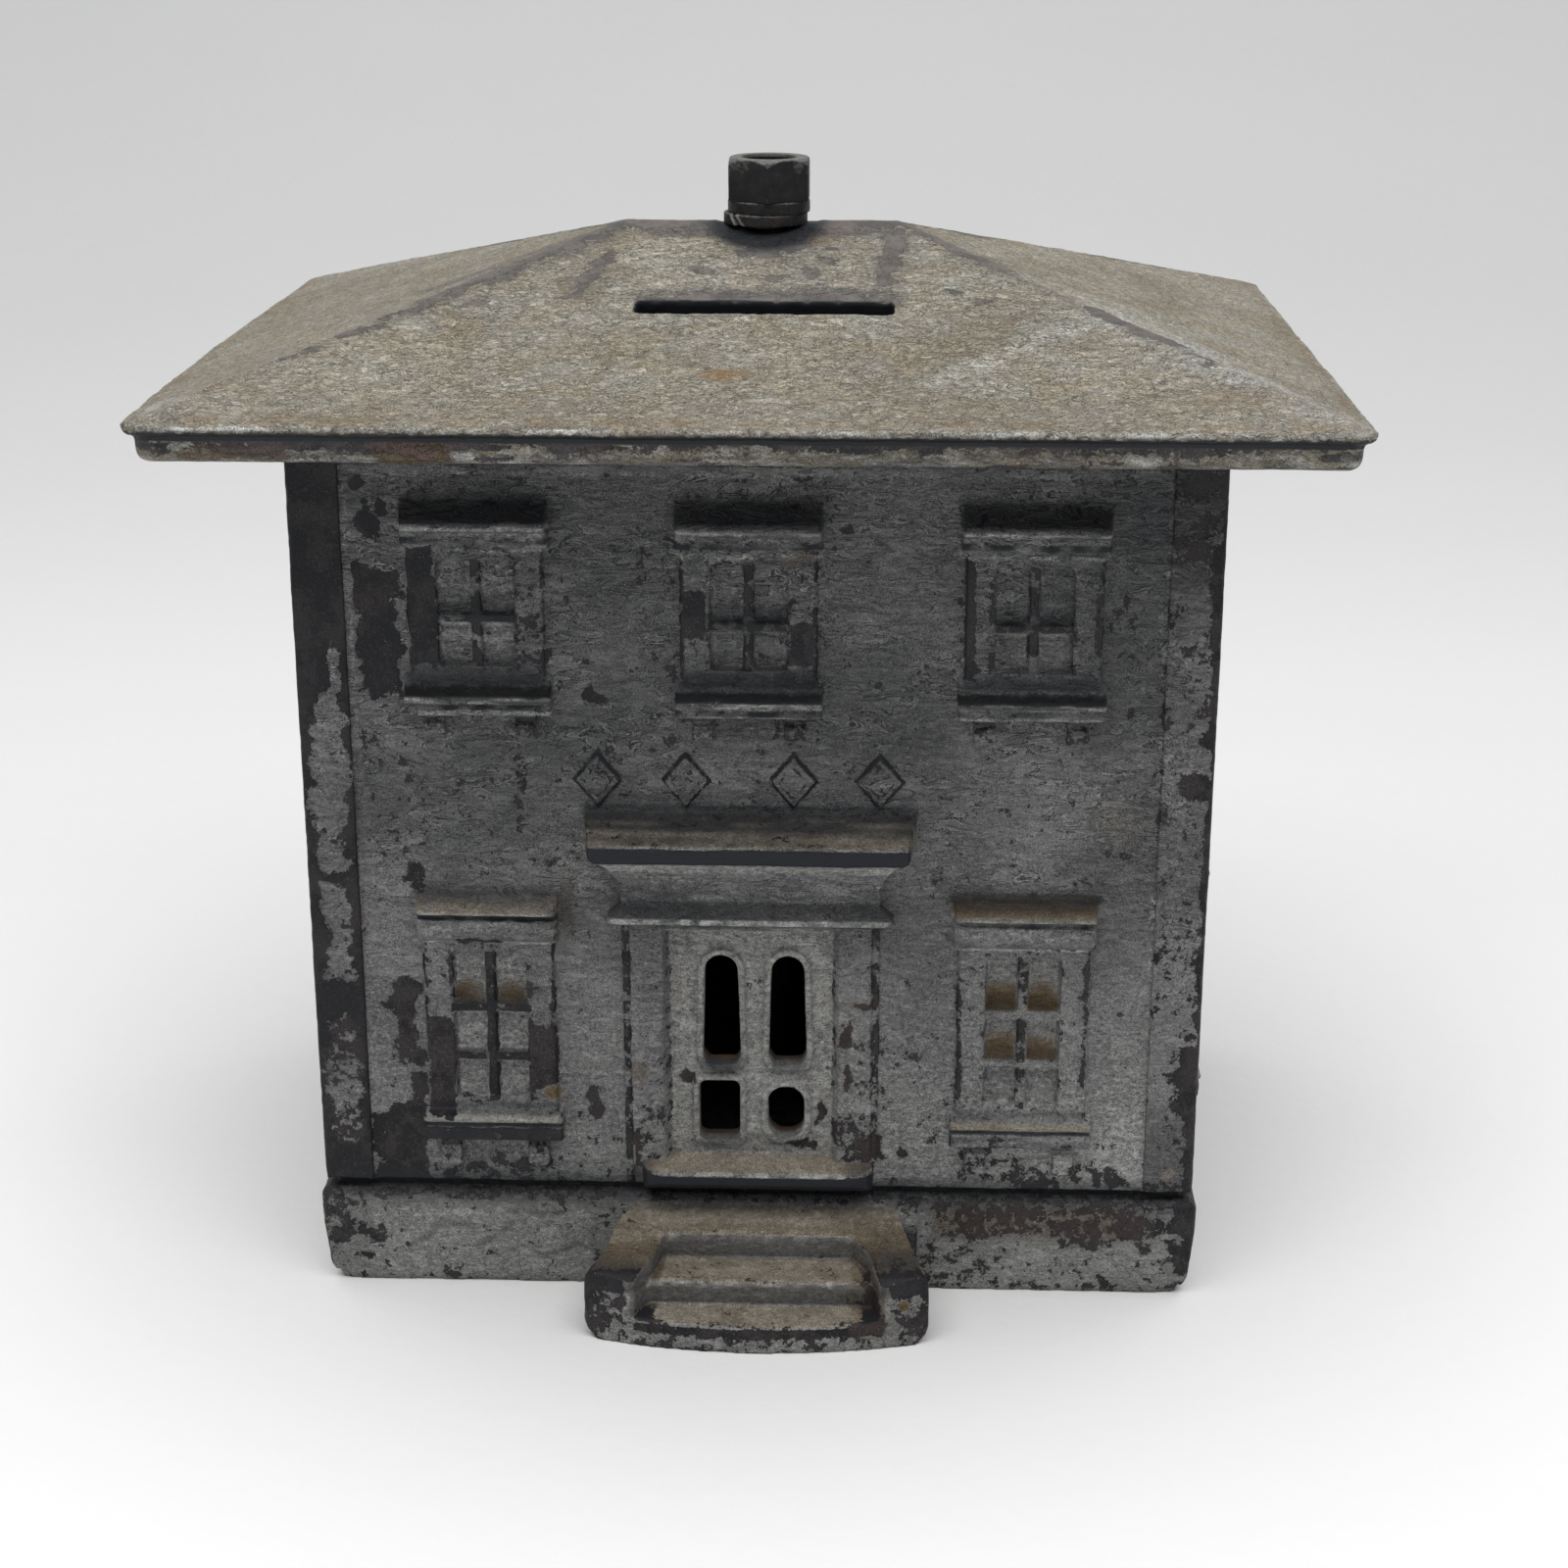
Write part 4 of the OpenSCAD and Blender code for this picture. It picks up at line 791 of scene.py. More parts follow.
def back_marks(me, p, nr, curve):
    k = Marks(len(p))
    q = p.astype(np.float32)
    big, mid = fbm(q, 16.0, 3, 401), fbm(q, 5.0, 3, 411)
    x, z = -p[:, 0], p[:, 2]
    out = p[:, 1] - FIELD_Y
    k.wear += 0.24 + 0.16 * big + 0.12 * mid + 0.5 * step(0.05, 0.16, curve)
    for cx in (-30.0, 0.0, 30.0):
        window_marks(k, x, z, out, q, cx, True, {"bars": 0.7, "cross": 0.55, "panes": 0.25}, 0.24)
        window_marks(k, x, z, out, q, cx, False, {"bars": 0.7, "cross": 0.5, "panes": 0.35, "halo": 0.4}, 0.2)
    k.up("wear", (1 - step(14, 21, z + 4 * mid)) * 0.62)
    # painted shade under the eaves
    k.up("soot", step(86, 98, z) * 0.3)
    k.up("soot", (1 - step(13.2, 14.6, z)) * 0.5)
    k.inner = 1 - step(-2.4, -1.4, out)
    return k


def base_marks(me, p, nr, curve):
    k = Marks(len(p))
    q = p.astype(np.float32)
    x, y, z = p[:, 0], p[:, 1], p[:, 2]
    wx, wz = warped(q, 9)
    u, v = x + wx, z + 0.7 * wz
    mid = fbm(q, 4.0, 3, 511)
    outer = np.maximum(np.abs(x) - 50.6, np.abs(y) - 38.2)  # 0 on the outside faces
    front = step(37.0, 37.6, -y) * (np.maximum(np.abs(x - 0.45) - 19.6, 0) > 0)
    k.wear += 0.34 + 0.16 * mid + 0.35 * step(0.05, 0.16, curve)
    # upper ledge and top band
    band_top = step(10.6, 11.4, z)
    k.up("wear", band_top * 0.42)
    k.up("thin", step(9.0, 11.6, z) * 0.85)
    k.up("soot", step(11.1, 11.9, z) * 0.62)
    # front, left part
    for f, a in (
        (rect(u, v, -51, -46.6, 4.2, 11.4, 0.8), 0.56),
        (spot(u, v, -44.6, 6.4, 2.6, 1.5, 0.4), 0.62),
        (rect(u, v, -51, -15, -1, 1.1, 0.6), 0.58),
        (streak(u, v, (-46.8, 3.4), (-40.5, 5.0), 0.45), 0.78),
        (streak(u, v, (-40.5, 5.0), (-37.6, 6.6), 0.4), 0.72),
        (spot(u, v, -31.0, 4.2, 2.0, 0.9), 0.62),
        (rect(u, v, -51, -14, 10.9, 12, 0.4), 0.5),
    ):
        k.up("wear", f * front, a)
    # front, right part: rusty and dark above, grey below
    k.up("wear", front * rect(u, v, 17.0, 51, 6.9, 12.0, 0.9), 0.57)
    k.up("rust", front * rect(u, v, 17.0, 44, 7.2, 11.2, 1.6), 0.55)
    k.up("soot", front * rect(u, v, 17.0, 51, 6.6, 12.0, 1.0), 0.16)
    k.up("wear", front * rect(u, v, 47.8, 51, 3.0, 12.0, 0.7), 0.85)
    k.up("wear", front * rect(u, v, 17, 51, -1, 1.3, 0.6), 0.60)
    k.up("wear", front * rect(u, v, 34, 40, 5.5, 9.0, 1.0), 0.5)
    k.up("pale", front * rect(u, v, 18, 47, 1.5, 6.4, 1.0), 0.30)
    k.up("pale", front * rect(u, v, -45, -15, 0.8, 11.0, 0.8), 0.34)
    k.down("wear", front * rect(u, v, -44, -16, 1.5, 10.6, 1.2), 0.42)
    # long wrinkles in the thick paint, each drawn as a dark line of painted shade with a painted highlight just below
    for c0, c1, c2, c3 in ((-41.0, 4.6, -36.4, 8.2), (-36.4, 8.2, -33.0, 7.4), (-33.0, 5.2, -27.8, 7.6), (-27.8, 9.0, -21.4, 9.8), (-25.0, 3.6, -20.4, 5.0)):
        k.up("soot", front * streak(u, v, (c0, c1), (c2, c3), 0.32, 0.9), 0.55)
        k.up("pale", front * streak(u, v, (c0 + 0.1, c1 - 0.7), (c2 + 0.1, c3 - 0.7), 0.4, 0.9), 0.5)
    pad = rect(x, z, 16.0, 18.8, 3.0, 12.1, 0.15) * step(38.4, 38.7, -y) * (1 - step(38.95, 39.15, -y))
    k.up("pale", pad * step(8.4, 9.4, z), 0.55)
    k.up("dust", pad * step(11.3, 11.7, z), 0.9)
    k.up("soot", pad * (1 - step(8.2, 9.6, z + 0.4 * wz)), 0.85)
    # dark strip at the pad's right side: painted shadow
    k.up("soot", front * rect(x, z, 18.7, 19.6, 6.0, 11.6, 0.25), 0.7)
    k.up("soot", front * rect(x, z, -17.5, 17.0, 11.0, 12.2, 0.3) * np.clip(0.7 + noise(q, 1.6, 521), 0, 1), 0.75)
    # steps
    sx = np.where(-y > 41, unflare(x - 0.45, y, z), x - 0.45)
    steps = step(38.2, 38.5, -y) * (np.abs(sx) < 21) * (z < 11.35) * (1 - pad)
    k.wear = k.wear * (1 - 0.6 * steps)
    upward = step(0.55, 0.85, nr[:, 2])
    tread = steps * upward * (np.abs(sx) < 13.2)
    k.up("dust", tread, 0.98)
    k.up("dust", steps * upward * (-y < 44.5), 1.2)
    k.up("pale", tread * (-y > 42.5), 1.05)
    k.up("rust", tread * np.clip(0.2 + 0.5 * mid, 0, 1) * 0.26)
    k.up("rust", steps * upward * band(-y + 0.4 * wz, 40.6, 42.2, 0.6) * 0.42)
    k.up("soot", steps * upward * (1 - step(38.3, 39.6, -y + 0.3 * wz)), 0.35)
    k.up("dust", steps * (np.abs(sx) < 13.2) * (z > 3.4), 0.30)
    k.up("wear", tread * band(-y, 46.4, 47.8, 0.3) * 0.26)
    side_top = steps * step(0.35, 0.7, nr[:, 2]) * (np.abs(sx) > 10.8)
    early = np.where(sx > 0, 3.6, 0.6)
    fade = 1 - step(45.5, 50.2, -y + 0.6 * wz + early)
    k.up("dust", side_top * fade, 0.95)
    k.up("rust", side_top * step(41, 46, -y + early), 0.62)
    k.up("soot", side_top * step(41.5, 52.0, -y + early + 1.2 * wz), 0.80)
    k.up("wear", side_top * step(48.0, 52.0, -y + 0.8 * wz + early), 0.55)
    face = steps * (1 - step(0.35, 0.7, nr[:, 2])) * (np.abs(sx) > 12.8) * step(47.0, 48.5, -y)
    k.up("wear", face * band(z + 0.5 * wz, 5.9, 7.9, 0.4), 0.90)
    k.up("soot", face * band(z + 0.5 * wz, 6.2, 7.7, 0.4), 0.62)
    k.up("wear", face * band(z + 0.8 * wz, 3.6, 6.4, 0.8), 0.56)
    k.up("wear", steps * step(17.7, 18.6, np.abs(sx) + 0.3 * wx) * step(46.0, 48.0, -y) * (z > 0.8), 0.68)
    k.up("soot", side_top * step(46.8, 49.4, -y + 0.6 * wz), 0.92)
    k.up("wear", side_top * step(47.2, 49.6, -y + 0.6 * wz), 0.75)
    inner_edge = steps * band(np.abs(sx), 12.7, 13.9, 0.2) * step(44.2, 46.0, -y) * (z > 3.6) * (1 - step(7.2, 7.7, z) * step(48.5, 49.0, -y))
    k.down("wear", inner_edge, 0.7)
    k.up("pale", inner_edge * np.clip(0.7 + 0.8 * noise(q, 1.8, 541), 0, 1), 0.75)
    k.up("soot", steps * (np.abs(sx) > 10.8) * step(47.5, 50.0, -y + 0.5 * wz) * step(5.2, 7.2, z), 0.42)
    # light line across the cheeks' fronts: painted highlight
    k.up("pale", steps * (np.abs(sx) > 14) * (np.abs(sx) < 18.6) * band(z, 7.4, 7.8, 0.1) * (-y > 49.5), 0.5)
    k.up("pale", steps * rect(sx, z, -15.0, -13.6, 2.4, 6.6, 0.4) * step(48.0, 49.5, -y), 0.6)
    riser = steps * (1 - step(0.3, 0.6, nr[:, 2])) * (np.abs(sx) < 13.3) * (z > 3.3)
    k.down("wear", riser, 0.5)
    k.up("thin", riser, 0.55)
    k.up("rust", riser * np.clip(0.3 + 0.8 * mid, 0, 1), 0.35)
    k.up("soot", riser, 0.22)
    # light, rubbed noses of the treads with broken paint and painted highlight
    for zt, yt in ((9.2, 42.3), (6.2, 47.7)):
        nose = steps * (np.abs(sx) < 12.4) * band(z, zt - 0.75, zt + 0.1, 0.12) * band(-y, yt - 0.6, yt + 0.5, 0.2)
        k.down("soot", nose, 0.7)
        k.up("pale", nose * np.clip(0.35 + 1.5 * noise(q, 0.8, 533), 0, 1), 1.1)
    # painted shade just under the noses
    k.up("soot", riser * band(z, 6.2, 6.95, 0.2), 0.5)
    k.up("soot", riser * band(z, 3.2, 3.9, 0.2), 0.5)
    low = steps * (z < 3.9) * step(51.3, 52.2, -y + 0.012 * sx * sx)
    k.up("pale", low * band(z, 2.8, 3.35, 0.12) * (np.abs(sx) < 13.4), 0.3)
    k.up("wear", low * band(z, 1.75, 2.85, 0.2) * (np.abs(sx) < 13.6), 0.86)
    k.up("wear", low * (1 - step(0.1, 0.7, z)), 0.5)
    k.up("wear", low, 0.42)
    k.up("pale", low * band(z, 0.3, 1.8, 0.4), 0.22)
    for f, a in (
        (spot(u, v, -18.0, 5.2, 1.8, 1.2), 0.75),
        (spot(u, v, -15.8, 3.0, 1.2, 1.1), 0.65),
        (spot(u, v, 17.6, 3.6, 1.6, 1.8), 0.60),
        (spot(u, v, 13.9, 3.6, 1.1, 2.6), 0.85),
    ):
        k.up("wear", f * steps, a)
    k.up("rust", steps * rect(u, z, 11.0, 15.6, 1.5, 7.5, 0.8) * (z > 1.5), 0.5)
    k.up("rust", steps * spot(x, z, 17.0, 4.9, 0.7, 0.6, 0.5), 1.0)
    k.up("dust", steps * spot(x, z, 17.0, 4.9, 0.7, 0.6, 0.5), 0.6)
    k.down("wear", steps * spot(x, z, 17.0, 4.9, 0.7, 0.6, 0.5), 0.9)
    # the seat under the walls: painted shadow in the gap
    k.up("soot", step(11.95, 12.3, z), 1.25)
    hollow = (np.abs(x) < 46.75) * (np.abs(y) < 34.35) * (z < 8.55)
    seat = step(12.7, 13.2, z) * (np.abs(x) < 47.6) * (np.abs(y) < 34.6)
    under = (1 - step(-0.9, -0.6, nr[:, 2])) * (z < 1.0)
    k.inner = np.clip(hollow * 1.0 + seat + under * 0.7, 0, 1)
    return k


def roof_marks(me, p, nr, curve):
    k = Marks(len(p))
    q = p.astype(np.float32)
    x, y, z = p[:, 0], p[:, 1], p[:, 2]
    wx, wz = warped(q, 13)
    u, v = x + 0.9 * wx, y + 0.9 * wz
    top = step(0.5, 0.8, nr[:, 2]) * (z > 103.0)
    mid = fbm(q, 6.0, 3, 611)
    k.wear += 0.10 + 0.08 * mid
    # ridge and hips
    ridge = streak(u, v, (-RIDGE_L, 0), (RIDGE_R, 0), 2.6)
    k.up("wear", ridge * top, 0.95)
    k.up("wear", streak(u, v, (-9, -1.5), (9, -1.5), 3.4) * top, 0.56)
    for sx in (-1, 1):
        for sy in (-1, 1):
            a, b = np.array([RIDGE_R if sx > 0 else -RIDGE_L, 0.0]), np.array([A_E * sx + 0.2, B_E * sy])
            t = np.clip(((x - a[0]) * (b - a)[0] + (y - a[1]) * (b - a)[1]) / ((b - a) @ (b - a)), 0, 1)
            along = noise(np.c_[t * 60, np.full(len(p), 31.0 * sx), np.full(len(p), 17.0 * sy)].astype(np.float32), 5.0, 641)
            if sy < 0 and sx > 0:
                strength = most(1 - step(0.24, 0.29, t), band(t, 0.43, 0.62, 0.02) * 0.95, band(t, 0.66, 0.70, 0.01) * 0.7)
            elif sy < 0 and sx < 0:
                strength = most(1 - step(0.16, 0.22, t), band(t, 0.26, 0.44, 0.03) * 0.75, band(t, 0.5, 0.62, 0.03) * 0.6)
            else:
                strength = np.clip(0.55 + 0.6 * along - 0.3 * t, 0, 1)
            k.up("wear", streak(u, v, a, b, 1.15) * strength * top, 0.92)
    # smeared, half-bare paint down the front hips and beside the ridge
    for f, a in (
        (streak(u, v, (-18.0, -3.0), (-30.0, -14.0), 4.0, 0.7), 0.7),
        (streak(u, v, (-30.0, -13.5), (-43.0, -28.5), 3.0, 0.7), 0.5),
        (streak(u, v, (-42.0, -28.0), (-54.0, -41.0), 1.8, 0.9), 0.35),
        (streak(u, v, (-24.0, -3.0), (-38.0, -13.0), 2.4, 0.9), 0.7),
        (streak(u, v, (16, -2.0), (47, -35.5), 1.1, 0.9), 0.6),
        (streak(u, v, (-13, -3.0), (13, -3.0), 2.4, 0.7), 0.85),
        (streak(u, v, (-12, -20.0), (14, -20.0), 1.9, 0.8), 0.9),
        (spot(u, v, -20.0, -18.0, 3.2, 3.0, 0.8), 0.7),
        (streak(u, v, (15.0, -3.0), (14.2, -18.0), 2.2, 0.8), 0.6),
        (spot(u, v, 3.0, -8.0, 8.0, 4.6, 0.7), 0.55),
        (spot(u, v, 5.0, -14.4, 5.0, 3.0, 0.7), 0.4),
    ):
        k.up("thin", f * top, a)
    # rags of bare metal along the left front hip
    for a0, a1, b0, b1, wide, how in (
        (-18.6, -2.6, -24.0, -8.0, 2.2, 0.62), (-23.0, -6.6, -30.0, -13.6, 2.4, 0.60), (-26.5, -12.5, -31.5, -17.0, 1.6, 0.60),
        (-31.0, -14.6, -37.5, -22.0, 1.8, 0.58), (-34.0, -20.4, -38.4, -24.6, 1.1, 0.66), (-40.0, -25.4, -45.4, -31.6, 0.9, 0.62),
        (-47.0, -33.6, -49.8, -36.6, 0.6, 0.60),
    ):
        k.up("wear", streak(u, v, (a0, a1), (b0, b1), wide, 0.8) * top, how)
    # patches on the front slope
    for f, a in (
        (rect(x + 0.6 * wx, v, -9.6, 12.6, -21.8, -19.9, 0.5), 0.80),
        (rect(x + 0.6 * wx, v, -13.6, -9.0, -21.6, -20.6, 0.4), 0.6),
        (rect(x + 0.6 * wx, v, 12.0, 15.4, -22.4, -21.0, 0.5), 0.62),
        (streak(u, v, (-17.4, -9.5), (-19.0, -15.5), 1.0), 0.78),
        (streak(u, v, (-19.0, -15.5), (-20.6, -20.5), 0.9), 0.72),
        (streak(u, v, (14.9, -4.2), (14.4, -9.8), 1.1), 0.80),
        (streak(u, v, (14.4, -9.8), (13.8, -16.8), 0.9), 0.74),
        (spot(u, v, -7.0, -14.0, 1.7, 1.1), 0.78),
        (spot(u, v, 1.8, -15.7, 1.8, 0.9), 0.78),
        (spot(u, v, 5.2, -14.4, 1.0, 1.7), 0.76),
        (spot(u, v, 7.4, -11.8, 1.5, 1.3), 0.78),
        (spot(u, v, -0.7, -8.9, 2.4, 2.0), 0.74),
        (spot(u, v, 3.0, -7.2, 2.8, 1.4), 0.72),
        (spot(u, v, 7.8, -8.4, 1.2, 0.8), 0.72),
        (spot(u, v, 20.8, -18.7, 1.1, 0.7), 0.76),
        (spot(u, v, 24.6, -20.8, 1.4, 1.0), 0.62),
        (spot(u, v, -31.8, -22.4, 1.6, 1.0), 0.72),
        (spot(u, v, -24.0, -7.4, 1.3, 0.8), 0.72),
        (spot(u, v, -20.6, -5.2, 2.2, 1.4), 0.55),
    ):
        k.up("wear", f * top, a)
    k.up("rust", top * spot(u, v, 4.5, -5.0, 4.5, 2.6, 0.6), 0.45)
    k.up("rust", top * spot(u, v, -3.4, -38.4, 2.8, 1.4, 0.7), 0.85)
    k.down("dust", top * spot(u, v, -3.4, -38.4, 2.8, 1.4, 0.7), 0.8)
    k.up("rust", top * spot(u, v, -6.0, -33.0, 1.6, 0.9, 0.7), 0.25)
    k.up("pale", top * spot(u, v, -61.0, -45.0, 1.6, 2.6, 0.5), 0.8)
    # bluish white paint towards the right front corner
    k.up("pale", top * streak(u, v, (38, -24), (61.5, -49.5), 3.4, 0.7), 0.8)
    k.up("pale", top * streak(u, v, (36.0, -17.0), (50.0, -30.0), 2.2, 0.9), 0.55)
    k.up("pale", top * streak(u, v, (18.5, -40.0), (37.0, -25.5), 1.6, 0.9), 0.6)
    k.up("pale", top * rect(u, v, 44, 64, -51, -47.5, 1.2), 0.5)
    k.up("dust", top * spot(u, v, 50.0, -42.5, 8.0, 3.2, 0.6), 0.55)
    k.up("rust", top * spot(u, v, 50.5, -43.0, 6.0, 2.4, 0.7), 0.3)
    k.up("pale", top * spot(u, v, 0, -13, 21, 9, 0.6), 0.26)
    k.up("pale", top * rect(u, v, -22, 24, -27, -25.2, 0.8), 0.35)
    # darker stained strip above the front eave, and above the slot's ends
    k.up("dust", top * step(38.0, 47.0, -y + 3 * mid), 0.34)
    k.up("dust", top * np.clip(mid * 1.4, 0, 1), 0.30)
    k.up("dust", top * step(2.0, 8.0, -x - 15 - np.abs(y) * 0.94 + 3 * mid), 0.34)
    k.up("pale", top * spot(x, y, -15.6, -22.9, 1.6, 0.9, 0.6), 0.35)
    k.up("pale", top * spot(x, y, 16.8, -23.2, 1.6, 0.9, 0.6), 0.45)
    # painted shadow of the nut and washers on the roof around them
    r = np.hypot(x, y + 0.8)
    k.up("soot", top * (1 - step(4.9, 8.4, np.hypot(x + 0.2, y + 1.9))), 1.15)
    # lip of the eaves: light upper edge as painted highlight, painted shadow below it
    lipd = np.minimum(A_E - np.abs(x - eave_shift(x, y)), B_E - np.abs(y))
    edge = (1 - step(0.10, 0.42, lipd + 0.25 * noise(q, 1.1, 669))) * step(103.2, 103.35, z)
    k.down("wear", edge, 0.7)
    bits = noise(q, 0.7, 665)
    k.up("pale", edge * np.clip(0.80 + 0.60 * noise(q, 2.6, 661), 0, 1) * (0.86 + 0.14 * step(10, -10, x)), 1.3)
    k.up("soot", (1 - step(0.2, 0.6, lipd)) * band(z + 0.14 * bits, 102.9, 103.22, 0.06), 0.95)
    stain = top * (1 - step(1.6, 3.4, lipd + 0.8 * wx)) * step(0.7, 1.1, lipd)
    k.up("rust", stain * np.clip(0.45 + 0.9 * noise(q, 3.5, 667), 0, 1), 0.42)
    k.up("dust", stain, 0.5)
    k.up("rust", edge * most(rect(x, y, -12, 6, -60, 0, 2.0) * 0.4, np.clip(noise(q, 9.0, 663), 0, 1) * 0.5))
    # recess under the lip: bare iron under painted shadow
    recess = (1 - step(0.15, 0.4, nr[:, 2])) * band(z, 102.1, 103.1, 0.1) * (lipd < 2.2)
    k.up("wear", recess, 1.1)
    k.up("soot", recess, 1.12)
    k.up("soot", recess * step(102.45, 102.65, z + 0.14 * bits), 1.3)
    k.up("pale", recess * (1 - step(102.3, 102.5, z)) * np.clip(2.0 * noise(q, 1.4, 697) - 0.7, 0, 1), 1.0)
    fascia = band(z, 99.4, 102.3, 0.1) * (lipd < 3.2)
    long = q * np.array([0.22, 0.22, 1.25], np.float32)
    worn = 0.33 + 0.80 * fbm(long, 0.8, 3, 671) + 0.30 * step(100.9, 101.9, z) - 0.12 * band(z, 100.2, 101.2, 0.2)
    worn = worn + 0.10 * (1 - step(-45, -10, x))
    k.wear = np.where(fascia > 0.5, np.clip(worn, 0, 0.80), k.wear)
    k.thin = np.where(fascia > 0.5, 0.42 + 0.4 * noise(long, 0.9, 673), k.thin)
    front_side = (-y > 44)
    k.up("rust", fascia * most(rect(x + wx, z, -38.5, -30.5, 99, 103, 0.8) * 1.2 * front_side,
                               rect(x + 2 * wx, z, -58, -47, 99.8, 101.6, 0.6) * front_side,
                               np.clip(noise(q, 7.0, 681) - 0.15, 0, 1) * 0.8), 0.75)
    k.up("dust", fascia * np.clip(0.35 + 0.8 * noise(q, 8.0, 683), 0, 1) * (0.12 + 0.75 * step(-20, 25, x)), 0.8)
    k.up("soot", fascia * np.clip(0.2 + 1.6 * noise(long, 0.5, 689), 0, 1), 0.42)
    k.up("pale", fascia * np.clip(2.2 * noise(long, 0.45, 691) - 0.10, 0, 1), 1.1)
    k.up("pale", fascia * np.clip(1.8 * noise(long, 1.1, 693) - 0.1, 0, 1) * (1 - step(101.3, 101.9, z)), 0.8)
    k.up("pale", fascia * band(z, 101.5, 102.2, 0.15) * np.clip(noise(long, 1.6, 685) + 0.1, 0, 1), 0.9)
    rim_line = fascia * band(z, 99.95, 100.35, 0.1) * np.clip(0.5 + 1.4 * noise(long, 1.2, 687), 0, 1)
    k.up("pale", rim_line, 0.75)
    k.down("wear", rim_line, 0.7)
    k.up("soot", fascia * (1 - step(99.5, 99.8, z)), 0.7)
    # downward faces darker: painted shade
    below = (nr[:, 2] < -0.6) * (z < 101.5)
    k.up("soot", below * 1.0, 0.35)
    # the slot: bare walls darkened with painted shade inside, light lower lip
    slot_x = band(x, -13.9, 14.9, 0.2)
    s = (RIDGE_Z - z)
    k.up("wear", slot_x * band(-y, 20.6, 23.9, 0.2) * (np.abs(nr[:, 2]) < 0.75) * (z > 105), 1.0)
    in_slot = band(x, -14.0, 15.0, 0.1) * band(-y, 20.3, 25.0, 0.2) * (nr[:, 2] < 0.6) * (z > 105.5)
    k.up("soot", in_slot, 1.0)
    k.down("rust", in_slot, 1.0)
    k.up("pale", top * slot_x * band(-y, 24.3, 24.8, 0.2), 0.35)
    inside = (nr[:, 2] < 0.45) * (np.abs(x) < 58.2) * (np.abs(y) < 46.2) * (z > 99.9)
    rim = (z < 99.75) * (np.abs(x) < 47.2)
    k.inner = np.clip(inside * 1.0 + rim, 0, 1)
    k.inner[(x > -14.2) & (x < 15.2) & (-y > 20.0) & (-y < 25.2) & (z > 105)] = 0
    return k


def steel_marks(node, me, p, nr, curve):
    k = Marks(len(p))
    x, y, z = p[:, 0], p[:, 1], p[:, 2]
    r = np.hypot(x, y)
    k.up("pale", step(0.012, 0.07, curve), 0.55)
    if node == "hex_nut":
        ring = step(124.6, 125.1, z) * (r < 4.9) * step(3.0, 3.3, r) * step(0.3, 0.7, nr[:, 2])
        k.up("pale", ring, 0.62)
        # arcs above the facets: painted highlights
        arcs = step(123.2, 124.6, z) * step(0.2, 0.6, noise(p.astype(np.float32), 1.2, 709) + 0.25) * (r > 4.0)
        k.up("pale", arcs, 0.38)
        k.up("rust", (r < 3.2) * (z > 124.3) * 1.0, 0.5)
        # dark in the bore and at the nut's foot: painted shade
        k.up("soot", (1 - step(2.95, 3.2, r)) * (z < 125.3), 0.7)
        k.up("soot", (1 - step(120.8, 121.5, z)), 0.5)
    if node == "flat_washer":
        k.up("pale", step(120.3, 120.6, z) * step(4.2, 4.6, r), 0.35)
        # underside of the washer: painted shade
        k.up("soot", (1 - step(119.4, 119.8, z)), 0.5)
    if node == "lock_washer":
        k.up("pale", step(118.95, 119.2, z) * step(4.3, 4.7, r), 0.4)
        k.up("rust", noise(p.astype(np.float32), 3.0, 701) * 0.3 + 0.2)
        # painted highlight along the edge of the split
        a = math.radians(225)
        along = x * math.cos(a) + y * math.sin(a)
        across = (-x * math.sin(a) + y * math.cos(a)) * math.cos(math.radians(40)) + (z - 118.65) * math.sin(math.radians(40))
        k.up("pale", band(np.abs(across), 0.22, 0.62, 0.1) * (along > 3.4) * step(0.0, 0.05, curve + 0.02), 1.2)
        # underside of the washer: painted shade
        k.up("soot", (1 - step(118.0, 118.35, z)), 0.5)
    return k


# ---------------------------------------------------------------- the bolt
THREAD_TOP, THREAD_LOW, PITCH = 124.0, 106.0, 25.4 / 24


def bolt_mesh():
    """Shank with a real thread at its top, as a closed shell; the slotted head below comes from head_mesh."""
    bm = bmesh.new()
    seg = 64
    levels = [7.0] + list(np.arange(9.0, THREAD_LOW, 1.2))
    levels += list(np.arange(THREAD_LOW, THREAD_TOP - 0.02, 0.09 * COARSE)) + [THREAD_TOP]
    rings = []
    for z in levels:
        ring = []
        for s in range(seg):
            a = 2 * math.pi * s / seg
            turn = (z - a / (2 * math.pi) * PITCH) / PITCH
            tri = abs(2 * (turn - math.floor(turn)) - 1)
            tri = min(max((tri - 0.12) / 0.76, 0.0), 1.0)
            grow = min(max((z - THREAD_LOW) / 1.6, 0.0), 1.0)
            r = 2.70 - 0.42 * tri * grow
            r = min(r, 2.70 - max(0.0, z - (THREAD_TOP - 0.55)) * 0.95)
            r += 0.015 * math.sin(7 * a + z * 0.6) + 0.01 * math.sin(23 * z + 3 * a) * (1 - grow)
            ring.append(bm.verts.new((r * math.cos(a), r * math.sin(a), z)))
        rings.append(ring)
    for lo, hi in zip(rings, rings[1:]):
        for s in range(seg):
            t = (s + 1) % seg
            bm.faces.new((lo[s], lo[t], hi[t], hi[s]))
    for ring, z, flip in ((rings[0], levels[0], True), (rings[-1], levels[-1], False)):
        mid = bm.verts.new((0.02, -0.01, z + (0.0 if flip else 0.06)))
        for s in range(seg):
            t = (s + 1) % seg
            bm.faces.new((ring[t], ring[s], mid) if flip else (ring[s], ring[t], mid))
    for v in bm.verts:
        v.co *= MM
    me = bpy.data.meshes.new("shank")
    bm.to_mesh(me)
    bm.free()
    return me


